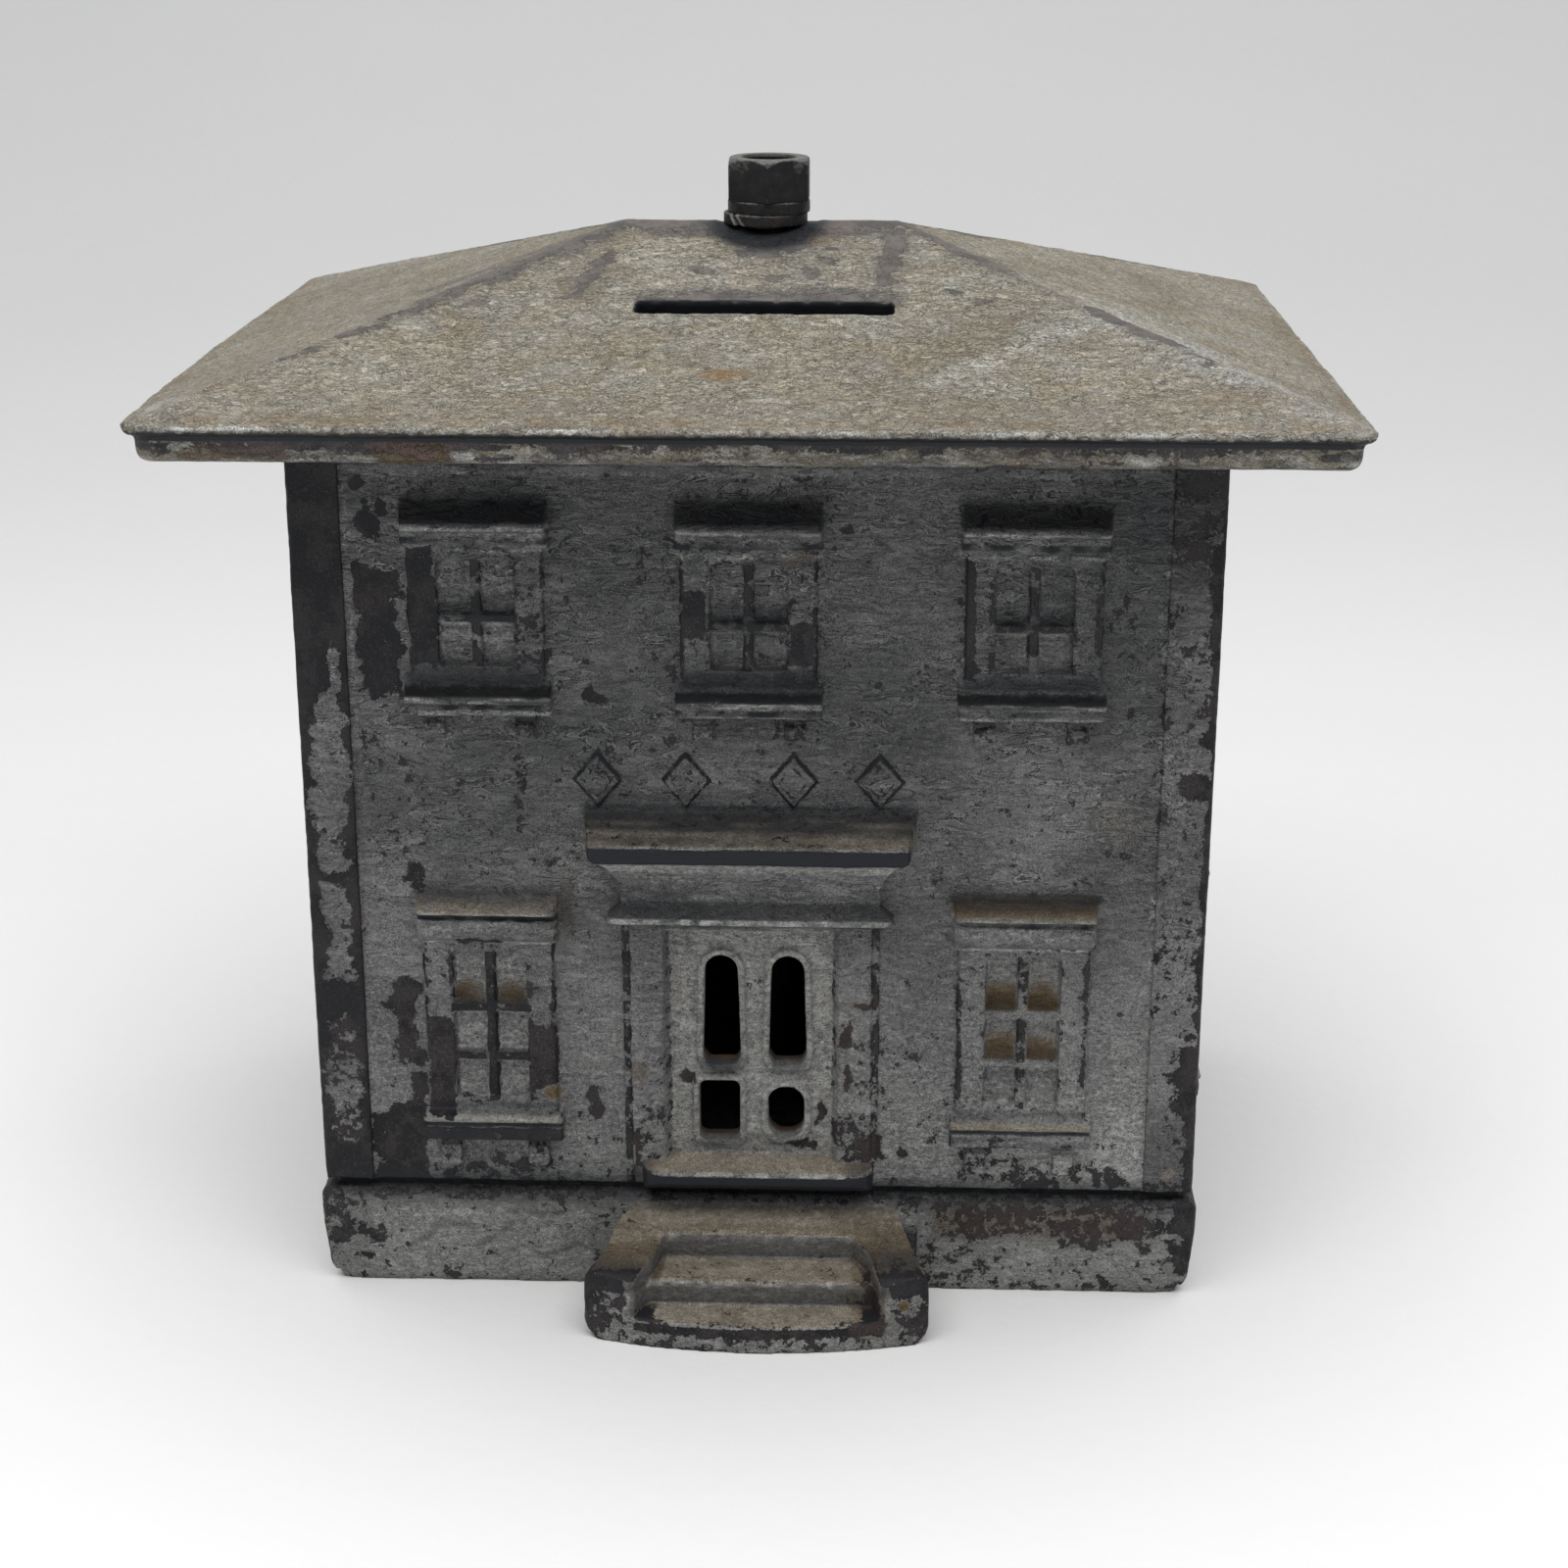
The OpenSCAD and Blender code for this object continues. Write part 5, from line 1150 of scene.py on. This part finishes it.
def head_mesh():
    me = cad_mesh("through_bolt")
    cut = evaluate({"head": (me, [
        ("REMESH", {"mode": "VOXEL", "voxel_size": 0.16 * COARSE * MM, "use_smooth_shade": True}),
        ("SMOOTH", {"factor": 0.5, "iterations": 3}),
    ])})["head"]
    bm = bmesh.new()
    bm.from_mesh(cut)
    bmesh.ops.bisect_plane(bm, geom=bm.verts[:] + bm.edges[:] + bm.faces[:], plane_co=(0, 0, 0.0086), plane_no=(0, 0, 1), clear_outer=True)
    edges = [e for e in bm.edges if e.is_boundary]
    bmesh.ops.edgeloop_fill(bm, edges=edges)
    bm.to_mesh(cut)
    bm.free()
    return cut


def joined(name, *meshes):
    bm = bmesh.new()
    for me in meshes:
        bm.from_mesh(me)
    me = bpy.data.meshes.new(name)
    bm.to_mesh(me)
    bm.free()
    return me


# ---------------------------------------------------------------- materials
class Tree:
    def __init__(self, name):
        self.m = bpy.data.materials.new(name)
        self.m.use_nodes = True
        self.nt = self.m.node_tree
        self.nt.nodes.clear()
        self.out = self.nt.nodes.new("ShaderNodeOutputMaterial")
        self.bsdf = self.nt.nodes.new("ShaderNodeBsdfPrincipled")
        self.nt.links.new(self.bsdf.outputs[0], self.out.inputs["Surface"])
        tc = self.nt.nodes.new("ShaderNodeTexCoord")
        self.P = self.vec("SCALE", tc.outputs["Object"], scale=1000.0)

    def put(self, socket, x):
        if isinstance(x, bpy.types.NodeSocket):
            self.nt.links.new(x, socket)
        elif isinstance(x, (tuple, list)):
            socket.default_value = tuple(x) + ((1.0,) if len(x) == 3 and socket.type == "RGBA" else ())
        else:
            socket.default_value = x

    def vec(self, op, a, b=None, scale=None):
        n = self.nt.nodes.new("ShaderNodeVectorMath")
        n.operation = op
        self.put(n.inputs[0], a)
        if b is not None:
            self.put(n.inputs[1], b)
        if scale is not None:
            self.put(n.inputs["Scale"], scale)
        return n.outputs[0]

    def math(self, op, a, b=0.0, clamp=False):
        n = self.nt.nodes.new("ShaderNodeMath")
        n.operation, n.use_clamp = op, clamp
        self.put(n.inputs[0], a)
        self.put(n.inputs[1], b)
        return n.outputs[0]

    def add(self, *xs):
        out = xs[0]
        for x in xs[1:]:
            out = self.math("ADD", out, x)
        return out

    def mul(self, *xs):
        out = xs[0]
        for x in xs[1:]:
            out = self.math("MULTIPLY", out, x)
        return out

    def sub(self, a, b):
        return self.math("SUBTRACT", a, b)

    def inv(self, a):
        return self.math("SUBTRACT", 1.0, a, clamp=True)

    def ease(self, x, lo, hi, a=0.0, b=1.0):
        n = self.nt.nodes.new("ShaderNodeMapRange")
        n.interpolation_type = "SMOOTHSTEP"
        for s, v in zip(("Value", "From Min", "From Max", "To Min", "To Max"), (x, lo, hi, a, b)):
            self.put(n.inputs[s], v)
        return n.outputs[0]

    def noise(self, vec, scale, detail=4.0, rough=0.55, warp=0.0):
        n = self.nt.nodes.new("ShaderNodeTexNoise")
        self.put(n.inputs["Vector"], vec)
        n.inputs["Scale"].default_value = scale
        n.inputs["Detail"].default_value = detail
        n.inputs["Roughness"].default_value = rough
        n.inputs["Distortion"].default_value = warp
        return n.outputs["Fac"]

    def cells(self, vec, scale, feature="F1", random=1.0):
        n = self.nt.nodes.new("ShaderNodeTexVoronoi")
        n.feature = feature
        self.put(n.inputs["Vector"], vec)
        n.inputs["Scale"].default_value = scale
        n.inputs["Randomness"].default_value = random
        return n.outputs["Distance"]

    def mix(self, fac, a, b):
        n = self.nt.nodes.new("ShaderNodeMix")
        n.data_type = "RGBA"
        n.clamp_factor = True
        self.put(n.inputs[0], fac)
        self.put(n.inputs[6], a)
        self.put(n.inputs[7], b)
        return n.outputs[2]

    def shade(self, colour, by):
        """colour times a number"""
        n = self.nt.nodes.new("ShaderNodeMix")
        n.data_type, n.blend_type = "RGBA", "MULTIPLY"
        n.inputs[0].default_value = 1.0
        self.put(n.inputs[6], colour)
        c = self.nt.nodes.new("ShaderNodeCombineColor")
        for i in range(3):
            self.put(c.inputs[i], by)
        self.put(n.inputs[7], c.outputs[0])
        return n.outputs[2]

    def attr(self, name):
        n = self.nt.nodes.new("ShaderNodeAttribute")
        n.attribute_type, n.attribute_name = "GEOMETRY", name
        return n.outputs["Fac"]

    def stretched(self, sx, sy, sz):
        return self.vec("MULTIPLY", self.P, (sx, sy, sz))

    def bump(self, height, distance, strength=1.0, normal=None):
        n = self.nt.nodes.new("ShaderNodeBump")
        n.inputs["Strength"].default_value = strength
        n.inputs["Distance"].default_value = distance
        self.put(n.inputs["Height"], height)
        if normal is not None:
            self.put(n.inputs["Normal"], normal)
        return n.outputs[0]


def painted_iron(name, paint, paint_dark, pale, style="wall", flake=1.0, lit_iron=1.0):
    """Old paint over dark iron. The marks on the points say where; noise gives the ragged edges and the grain."""
    t = Tree(name)
    P = t.P
    wear, soot, dust = t.attr("wear"), t.attr("soot"), t.attr("dust")
    rust, light, inner = t.attr("rust"), t.attr("pale"), t.attr("inner")
    smear = t.attr("thin")
    curve = t.attr("curve")
    broad = t.noise(P, 0.07, 4.0, 0.55)
    blotch = t.noise(P, 0.28, 5.0, 0.6)
    ragged = t.noise(P, 0.62 / flake, 10.0, 0.66)
    flecks = t.noise(P, 1.9, 5.0, 0.62)
    grain = t.noise(P, 5.5, 3.0, 0.6)
    fine = t.noise(P, 11.0, 2.0, 0.5)
    if style == "roof":
        # fine alligatoring, its cells long along the eaves
        geo = t.nt.nodes.new("ShaderNodeNewGeometry")
        sep = t.nt.nodes.new("ShaderNodeSeparateXYZ")
        t.put(sep.inputs[0], geo.outputs["Normal"])
        sideways = t.ease(t.sub(t.math("ABSOLUTE", sep.outputs[0]), t.math("ABSOLUTE", sep.outputs[1])), -0.05, 0.05)
        bend = t.nt.nodes.new("ShaderNodeTexNoise")
        t.put(bend.inputs["Vector"], P)
        bend.inputs["Scale"].default_value = 0.55
        bend.inputs["Detail"].default_value = 2.0
        shift = t.vec("SCALE", t.vec("SUBTRACT", bend.outputs["Color"], (0.5, 0.5, 0.5)), scale=2.6)
        bent = t.vec("ADD", P, shift)
        mv = t.nt.nodes.new("ShaderNodeMix")
        mv.data_type = "VECTOR"
        t.put(mv.inputs[0], sideways)
        t.put(mv.inputs[4], t.vec("MULTIPLY", bent, (0.32, 1.0, 1.0)))
        t.put(mv.inputs[5], t.vec("MULTIPLY", bent, (1.0, 0.34, 1.0)))
        long = mv.outputs[1]
        cell = t.nt.nodes.new("ShaderNodeTexVoronoi")
        cell.feature = "DISTANCE_TO_EDGE"
        t.put(cell.inputs["Vector"], long)
        cell.inputs["Scale"].default_value = 1.45
        split = t.ease(cell.outputs["Distance"], 0.13, 0.02)
        tone = t.nt.nodes.new("ShaderNodeTexVoronoi")
        t.put(tone.inputs["Vector"], long)
        tone.inputs["Scale"].default_value = 1.45
        sepc = t.nt.nodes.new("ShaderNodeSeparateColor")
        t.put(sepc.inputs[0], tone.outputs["Color"])
        cell_tone = sepc.outputs[0]
        lines = t.noise(long, 1.5, 4.0, 0.62, 0.3)
        lines2 = t.noise(long, 2.9, 3.0, 0.6, 0.3)
        dashes = t.ease(t.noise(long, 0.55, 3.0, 0.6), 0.40, 0.55)
        dashes2 = t.ease(t.noise(long, 0.9, 2.0, 0.6), 0.44, 0.56)
    else:
        lines = t.noise(t.stretched(0.36, 0.36, 1.0), 0.74, 4.0, 0.58, 1.4)
        lines2 = t.noise(t.stretched(0.5, 0.5, 1.0), 1.9, 3.0, 0.6, 0.8)
        place_at = t.nt.nodes.new("ShaderNodeSeparateXYZ")
        t.put(place_at.inputs[0], P)
        high_up = t.ease(place_at.outputs[2], 34.0, 66.0)
    # where the paint is gone
    field = t.add(
        wear,
        t.mul(t.sub(ragged, 0.5), 1.9),
        t.mul(t.sub(blotch, 0.5), 0.75),
        t.mul(t.sub(flecks, 0.5), 0.95),
        t.mul(t.sub(grain, 0.5), 0.50),
    )
    bare = t.ease(field, 0.495, 0.525)
    # the lighter band round each chip is a painted highlight of the paint's edge, and the darker iron just inside it is
    # a painted shadow
    rim = t.mul(t.ease(field, 0.40, 0.475), t.inv(bare))
    chip_edge_shadow = t.mul(t.ease(field, 0.600, 0.535), bare)
    # wrinkles: thin dark lines with a light side, painted shade in the crease and a painted highlight on the side
    folds = t.sub(lines, 0.5)
    fold_crease_shade = t.mul(t.ease(folds, -0.040, -0.012), t.ease(folds, 0.012, 0.0))
    fold_side_highlight = t.mul(t.ease(folds, 0.0, 0.016), t.ease(folds, 0.060, 0.022))
    patchy = t.ease(t.noise(P, 0.20, 3.0, 0.6), 0.40, 0.62)
    folds2 = t.sub(lines2, 0.5)
    fold2_crease_shade = t.mul(t.ease(folds2, -0.045, -0.012), t.ease(folds2, 0.012, 0.0))
    # paint
    col = t.mix(t.ease(broad, 0.36, 0.64), paint_dark, paint)
    col = t.mix(t.mul(t.ease(blotch, 0.45, 0.72), 0.35), col, paint_dark)
    col = t.mix(t.mul(light, t.ease(t.add(flecks, t.mul(t.sub(light, 0.5), 0.3)), 0.28, 0.64)), col, pale)
    if style == "roof":
        col = t.mix(t.ease(light, 0.95, 1.25), col, (0.80, 0.79, 0.755))
        cool = t.ease(t.noise(P, 0.16, 4.0, 0.6), 0.44, 0.62)
        col = t.mix(t.mul(cool, 0.45), col, (0.375, 0.365, 0.335))
        warm = t.ease(t.noise(P, 0.13, 4.0, 0.6, 0.5), 0.46, 0.64)
        col = t.mix(t.mul(warm, t.inv(cool), 0.45), col, (0.330, 0.272, 0.190))
    texture = t.add(
        1.0,
        t.mul(t.sub(lines, 0.5), 0.8),
        t.mul(t.sub(lines2, 0.5), 0.8),
        t.mul(t.sub(flecks, 0.5), 0.8),
        t.mul(t.sub(grain, 0.5), 1.7 if style == "roof" else 2.0),
        t.mul(t.sub(fine, 0.5), 1.6 if style == "roof" else 1.9),
    )
    if style == "roof":
        calm = t.add(1.0, t.mul(sideways, -0.45))
        thin_line = t.mul(t.ease(t.math("ABSOLUTE", folds), 0.036, 0.008), dashes)
        thin_line2 = t.mul(t.ease(t.math("ABSOLUTE", folds2), 0.040, 0.010), dashes2)
        texture = t.add(
            texture, t.mul(thin_line, -0.30, calm), t.mul(thin_line2, -0.26, calm), t.mul(fold_side_highlight, 0.16, calm),
            t.mul(split, t.ease(ragged, 0.40, 0.60), -0.26, calm), t.mul(split, -0.12, calm),
            t.mul(t.sub(cell_tone, 0.5), 0.20, calm), t.mul(rim, 0.14),
        )
    else:
        texture = t.add(
            texture, t.mul(fold_crease_shade, t.add(0.16, t.mul(patchy, 0.60)), -1.0, t.add(0.22, t.mul(high_up, 1.0))),
            t.mul(fold2_crease_shade, -0.16, t.add(0.4, t.mul(high_up, 0.7))),
            t.mul(fold_side_highlight, t.add(0.12, t.mul(patchy, 0.55)), t.add(0.22, t.mul(high_up, 1.0))), t.mul(rim, 0.30),
        )
    col = t.shade(col, t.math("MAXIMUM", texture, 0.15))
    if style == "roof":
        col = t.mix(t.mul(t.ease(lines, 0.40, 0.31), 0.4, calm), col, (0.150, 0.125, 0.090))
        col = t.mix(t.mul(t.ease(lines2, 0.57, 0.67), t.ease(flecks, 0.46, 0.58), 0.42, calm), col, (0.62, 0.61, 0.57))
    else:
        col = t.mix(t.mul(t.ease(lines, 0.40, 0.33), 0.45, high_up), col, (0.050, 0.050, 0.053))
        col = t.mix(t.mul(t.ease(grain, 0.60, 0.70), 0.34), col, t.shade(paint, 1.6))
    # dirt that lies on the paint
    dust_on = t.math("MULTIPLY", dust, t.ease(t.add(flecks, t.mul(dust, 0.35)), 0.42, 0.66), clamp=True)
    dust_col = t.mix(t.ease(grain, 0.38, 0.62), (0.185, 0.158, 0.124), (0.350, 0.312, 0.256))
    dust_col = t.mix(t.mul(t.ease(blotch, 0.45, 0.66), 0.6), dust_col, (0.150, 0.120, 0.088))
    dust_col = t.shade(dust_col, t.add(1.0, t.mul(t.sub(lines2, 0.5), 1.2), t.mul(t.sub(fine, 0.5), 1.4)))
    col = t.mix(dust_on, col, dust_col)
    rust_on = t.math("MULTIPLY", rust, t.ease(t.add(flecks, t.mul(rust, 0.4)), 0.44, 0.72), clamp=True)
    rust_col = t.mix(t.ease(grain, 0.35, 0.65), (0.070, 0.044, 0.018), (0.160, 0.105, 0.045))
    if style == "roof":
        rust_col = t.mix(t.mul(t.ease(sep.outputs[2], 0.5, 0.85), 0.5), rust_col, (0.420, 0.270, 0.130))
    col = t.mix(rust_on, col, rust_col)
    # paint rubbed so thin that the iron shows through
    through = t.mul(smear, t.ease(t.add(lines, t.mul(t.sub(blotch, 0.5), 0.8), t.mul(t.sub(smear, 0.5), 0.4)), 0.30, 0.62))
    if style == "roof":
        col = t.mix(t.mul(through, 0.88), col, t.shade((0.118, 0.110, 0.108), t.add(1.0, t.mul(t.sub(grain, 0.5), 1.2), t.mul(t.sub(lines2, 0.5), 1.6))))
    else:
        speck = t.mul(smear, t.ease(t.add(grain, t.mul(t.sub(flecks, 0.5), 0.5), t.mul(t.sub(smear, 0.5), 0.22)), 0.44, 0.58))
        col = t.mix(t.mul(speck, 0.85), col, (0.026, 0.0255, 0.028))
    # iron
    iron = t.mix(t.ease(t.add(blotch, t.mul(t.sub(flecks, 0.5), 0.35)), 0.42, 0.60), (0.0125, 0.0124, 0.0145), (0.0360, 0.0305, 0.0325))
    iron = t.mix(t.mul(t.ease(flecks, 0.54, 0.70), 0.55), iron, (0.064, 0.055, 0.052))
    iron = t.mix(t.mul(t.ease(grain, 0.59, 0.70), 0.55), iron, (0.080, 0.077, 0.076))
    iron = t.mix(t.mul(rust, 0.75), iron, (0.070, 0.042, 0.033))
    iron = t.shade(iron, t.mul(t.add(1.0, t.mul(t.sub(grain, 0.5), 2.2), t.mul(t.sub(fine, 0.5), 1.5), t.mul(chip_edge_shadow, -0.45)), lit_iron))
    if style == "roof":
        rubbed = t.mix(t.ease(t.add(blotch, t.mul(t.sub(flecks, 0.5), 0.4)), 0.42, 0.62), (0.100, 0.091, 0.084), (0.158, 0.140, 0.126))
        rubbed = t.shade(rubbed, t.add(1.0, t.mul(t.sub(grain, 0.5), 1.3), t.mul(t.sub(lines2, 0.5), 0.9)))
        iron = t.mix(t.mul(t.ease(sep.outputs[2], 0.5, 0.85), 0.78), t.mix(0.25, iron, (0.060, 0.057, 0.054)), rubbed)
    col = t.mix(bare, col, iron)
    # soot and dirt together with painted shade: the soot marks also stand for shade under ledges, lips and eaves, and
    # concave corners of the casting get painted shade
    corner = t.ease(curve, -0.03, -0.20)
    uneven = t.mul(t.sub(flecks, 0.5), 0.9, t.math("MAXIMUM", t.sub(1.0, soot), 0.0))
    dark = t.math("MAXIMUM", t.mul(soot, t.add(0.80, t.mul(soot, 0.14), uneven)), t.mul(corner, 0.55))
    deepest = t.mix(t.ease(soot, 1.20, 1.29), (0.0155, 0.0178, 0.0225), (0.0060, 0.0064, 0.0072))
    col = t.mix(t.math("MINIMUM", dark, 0.97), col, deepest)
    # inside of the casting: never painted, brown with old rust
    inside = t.mix(t.ease(blotch, 0.40, 0.62), (0.070, 0.056, 0.047), (0.125, 0.080, 0.052))
    inside = t.shade(inside, t.add(0.55, t.mul(grain, 0.9)))
    col = t.mix(inner, col, inside)
    t.put(t.bsdf.inputs["Base Color"], col)
    rough_paint = t.add(0.60, t.mul(t.sub(grain, 0.5), 0.35), t.mul(dust_on, 0.22))
    rough_iron = t.add(0.52, t.mul(t.sub(flecks, 0.5), 0.5), t.mul(inner, 0.3))
    rm = t.nt.nodes.new("ShaderNodeMix")
    t.put(rm.inputs[0], t.math("MAXIMUM", bare, inner))
    t.put(rm.inputs[2], rough_paint)
    t.put(rm.inputs[3], rough_iron)
    t.put(t.bsdf.inputs["Roughness"], rm.outputs[0])
    t.bsdf.inputs["Specular IOR Level"].default_value = 0.22
    # heights in mm
    on = t.mul(t.inv(bare), t.inv(inner))
    height = t.add(
        t.mul(t.ease(field, 0.545, 0.475), 0.075),
        t.mul(on, t.add(t.mul(lines, 0.30) if style == "roof" else t.mul(lines, t.add(0.20, t.mul(high_up, 0.55))), t.mul(lines2, 0.14))),
        t.mul(on, t.add(t.mul(fold_crease_shade, -0.05), t.mul(fold2_crease_shade, -0.03), t.mul(split, -0.06) if style == "roof" else 0.0)),
        t.mul(flecks, 0.06),
        t.mul(grain, 0.030),
        t.mul(fine, 0.012),
        t.mul(inner, t.mul(blotch, 0.3)),
    )
    t.put(t.bsdf.inputs["Normal"], t.bump(height, MM))
    return t.m


def old_steel(name, tone=1.0):
    t = Tree(name)
    P = t.P
    light, rust, soot = t.attr("pale"), t.attr("rust"), t.attr("soot")
    blotch = t.noise(P, 0.5, 5.0, 0.6)
    flecks = t.noise(P, 2.4, 6.0, 0.62)
    grain = t.noise(P, 9.0, 3.0, 0.6)
    marks = t.noise(t.stretched(1.0, 1.0, 5.0), 1.6, 3.0, 0.5)
    col = t.mix(t.ease(blotch, 0.40, 0.62), (0.0125 * tone, 0.0130 * tone, 0.0155 * tone), (0.0235 * tone, 0.0225 * tone, 0.0235 * tone))
    col = t.shade(col, t.add(0.45, t.mul(grain, 1.1)))
    scratch = t.noise(t.stretched(0.7, 0.7, 6.0), 1.7, 4.0, 0.7)
    col = t.mix(t.mul(t.ease(scratch, 0.60, 0.68), t.ease(blotch, 0.42, 0.6), 0.7), col, (0.075, 0.070, 0.062))
    # pale marks on the steel: painted highlights with rubbed bright metal
    col = t.mix(t.mul(light, t.ease(t.add(flecks, t.mul(light, 0.35)), 0.50, 0.78)), col, (0.23, 0.225, 0.205))
    col = t.mix(t.mul(rust, t.ease(flecks, 0.45, 0.62)), col, (0.085, 0.055, 0.035))
    # darkening from the soot marks, here painted shade
    col = t.mix(t.mul(soot, 0.85), col, (0.008, 0.008, 0.009))
    t.put(t.bsdf.inputs["Base Color"], col)
    t.put(t.bsdf.inputs["Roughness"], t.add(0.46, t.mul(t.sub(flecks, 0.5), 0.45), t.mul(rust, 0.2)))
    t.bsdf.inputs["Specular IOR Level"].default_value = 0.30
    height = t.add(t.mul(flecks, 0.05), t.mul(grain, 0.02), t.mul(marks, 0.04))
    t.put(t.bsdf.inputs["Normal"], t.bump(height, MM))
    return t.m


def floor_material():
    t = Tree("floor")
    n = t.noise(t.P, 0.02, 3.0, 0.5)
    f = t.noise(t.P, 0.35, 3.0, 0.6)
    col = t.mix(t.add(t.mul(n, 0.6), t.mul(f, 0.4)), (0.84, 0.845, 0.84), (0.88, 0.883, 0.878))
    sep = t.nt.nodes.new("ShaderNodeSeparateXYZ")
    t.put(sep.inputs[0], t.P)
    # painted light and shade on the stage: brightest just in front of the house, darker towards the far front and up
    # the backdrop
    col = t.shade(col, t.mul(t.ease(sep.outputs[1], -30.0, 110.0, 1.06, 0.89), t.ease(sep.outputs[1], 110.0, 560.0, 1.0, 0.84), t.ease(sep.outputs[1], -220.0, -30.0, 0.96, 1.02)))
    t.put(t.bsdf.inputs["Base Color"], col)
    t.put(t.bsdf.inputs["Roughness"], t.add(0.85, t.mul(f, 0.1)))
    t.put(t.bsdf.inputs["Normal"], t.bump(t.mul(f, 0.15), MM))
    return t.m


# ---------------------------------------------------------------- putting it together
WALL = painted_iron("worn_wall_paint", (0.200, 0.199, 0.197), (0.122, 0.122, 0.123), (0.41, 0.41, 0.395), lit_iron=0.90)
BASE = painted_iron("worn_base_paint", (0.255, 0.254, 0.247), (0.185, 0.184, 0.178), (0.42, 0.42, 0.40), flake=0.85)
ROOF = painted_iron("worn_roof_paint", (0.376, 0.344, 0.275), (0.272, 0.242, 0.184), (0.56, 0.56, 0.54), style="roof", lit_iron=2.4)
STEEL = old_steel("old_dark_steel")

BODY = {n: b for b, ns in frame["record"]["behaviour"]["bodies"].items() for n in ns}
NAMES = {
    "front_wall": "front_casting", "back_wall": "back_casting", "left_wall": "left_casting", "right_wall": "right_casting",
    "base": "base_casting", "roof": "roof_casting", "lock_washer": "split_washer", "flat_washer": "plain_washer",
    "hex_nut": "nut", "through_bolt": "long_bolt",
}

meshes = castings()
for node, me in meshes.items():
    p, nr, curve = points(me), normals(me), read(me, "curve")
    if node == "front_wall":
        k, mat = front_marks(me, p, nr, curve), WALL
    elif node in ("left_wall", "right_wall"):
        k, mat = side_marks(me, p, nr, curve, -1 if node == "left_wall" else 1), WALL
    elif node == "back_wall":
        k, mat = back_marks(me, p, nr, curve), WALL
    elif node == "base":
        k, mat = base_marks(me, p, nr, curve), BASE
    elif node == "roof":
        k, mat = roof_marks(me, p, nr, curve), ROOF
    else:
        k, mat = steel_marks(node, me, p, nr, curve), STEEL
    for kind in KINDS:
        write(me, kind, np.clip(getattr(k, kind), 0, 1.3))
    me.name = NAMES[node]
    me.materials.clear()
    me.materials.append(mat)
    ob = bpy.data.objects.new(NAMES[node], me)
    bpy.context.scene.collection.objects.link(ob)
    me.polygons.foreach_set("use_smooth", np.ones(len(me.polygons), bool))
    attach(ob, BODY[node])
    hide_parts(node)

me = joined("long_bolt", bolt_mesh(), head_mesh())
p = points(me)
for kind in ("wear", "soot", "dust", "thin", "inner"):
    write(me, kind, np.zeros(len(p)))
write(me, "curve", np.zeros(len(p)))
rr = np.hypot(p[:, 0], p[:, 1])
write(me, "pale", np.where(p[:, 2] > THREAD_LOW, step(2.45, 2.7, rr) * 0.45, 0.1))
write(me, "rust", np.clip(0.35 + 0.5 * fbm(p.astype(np.float32), 12.0, 3, 801), 0, 1) * step(11, 16, p[:, 2]))
me.materials.append(STEEL)
ob = bpy.data.objects.new(NAMES["through_bolt"], me)
bpy.context.scene.collection.objects.link(ob)
me.polygons.foreach_set("use_smooth", np.ones(len(me.polygons), bool))
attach(ob, BODY["through_bolt"])
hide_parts("through_bolt")


# ---------------------------------------------------------------- floor, light, camera
def stage():
    """A pale floor that curves up into a backdrop."""
    bm = bmesh.new()
    wide, rows = 3.0, []
    profile = [(-2.5, 0.0), (0.10, 0.0), (0.30, 0.0)]
    for i in range(1, 25):
        a = math.radians(90 * i / 24)
        profile.append((0.30 + 0.8 * math.sin(a), 0.8 * (1 - math.cos(a))))
    profile += [(1.10, 3.0)]
    for y, z in profile:
        rows.append([bm.verts.new((x, y, z)) for x in (-wide, -0.5, 0.0, 0.5, wide)])
    for a, b in zip(rows, rows[1:]):
        for i in range(4):
            bm.faces.new((a[i], a[i + 1], b[i + 1], b[i]))
    me = bpy.data.meshes.new("floor")
    bm.to_mesh(me)
    bm.free()
    me.polygons.foreach_set("use_smooth", np.ones(len(me.polygons), bool))
    me.materials.append(floor_material())
    ob = bpy.data.objects.new("floor", me)
    bpy.context.scene.collection.objects.link(ob)


def area(name, place_at, aim, size, power, colour=(1, 1, 1)):
    data = bpy.data.lights.new(name, "AREA")
    data.shape, data.size, data.size_y = "RECTANGLE", size[0], size[1]
    data.energy, data.color = power, colour
    ob = bpy.data.objects.new(name, data)
    bpy.context.scene.collection.objects.link(ob)
    ob.location = place_at
    ob.rotation_euler = (Vector(aim) - Vector(place_at)).to_track_quat("-Z", "Y").to_euler()
    return ob


stage()
area("overhead", (0.0, -0.16, 1.0), (0.0, -0.12, 0.0), (1.4, 1.35), 15.4, (1.0, 0.995, 0.985))

world = bpy.data.worlds.new("studio")
bpy.context.scene.world = world
world.use_nodes = True
bg = world.node_tree.nodes.get("Background")
bg.inputs["Color"].default_value = (0.93, 0.965, 1.0, 1.0)
bg.inputs["Strength"].default_value = 0.24

cam = bpy.data.cameras.new("camera")
cam.sensor_fit, cam.sensor_width, cam.lens = "HORIZONTAL", 36.0, 63.04
cam.clip_start, cam.clip_end = 0.01, 20.0
cam_ob = bpy.data.objects.new("camera", cam)
bpy.context.scene.collection.objects.link(cam_ob)
cam_ob.location = (0.01393, -0.32198, 0.15899)
cam_ob.rotation_euler = (math.radians(90 - 18.81), 0.0, 0.0378)
bpy.context.scene.camera = cam_ob
bpy.context.scene.view_settings.view_transform = "Standard"
bpy.context.scene.view_settings.look = "None"
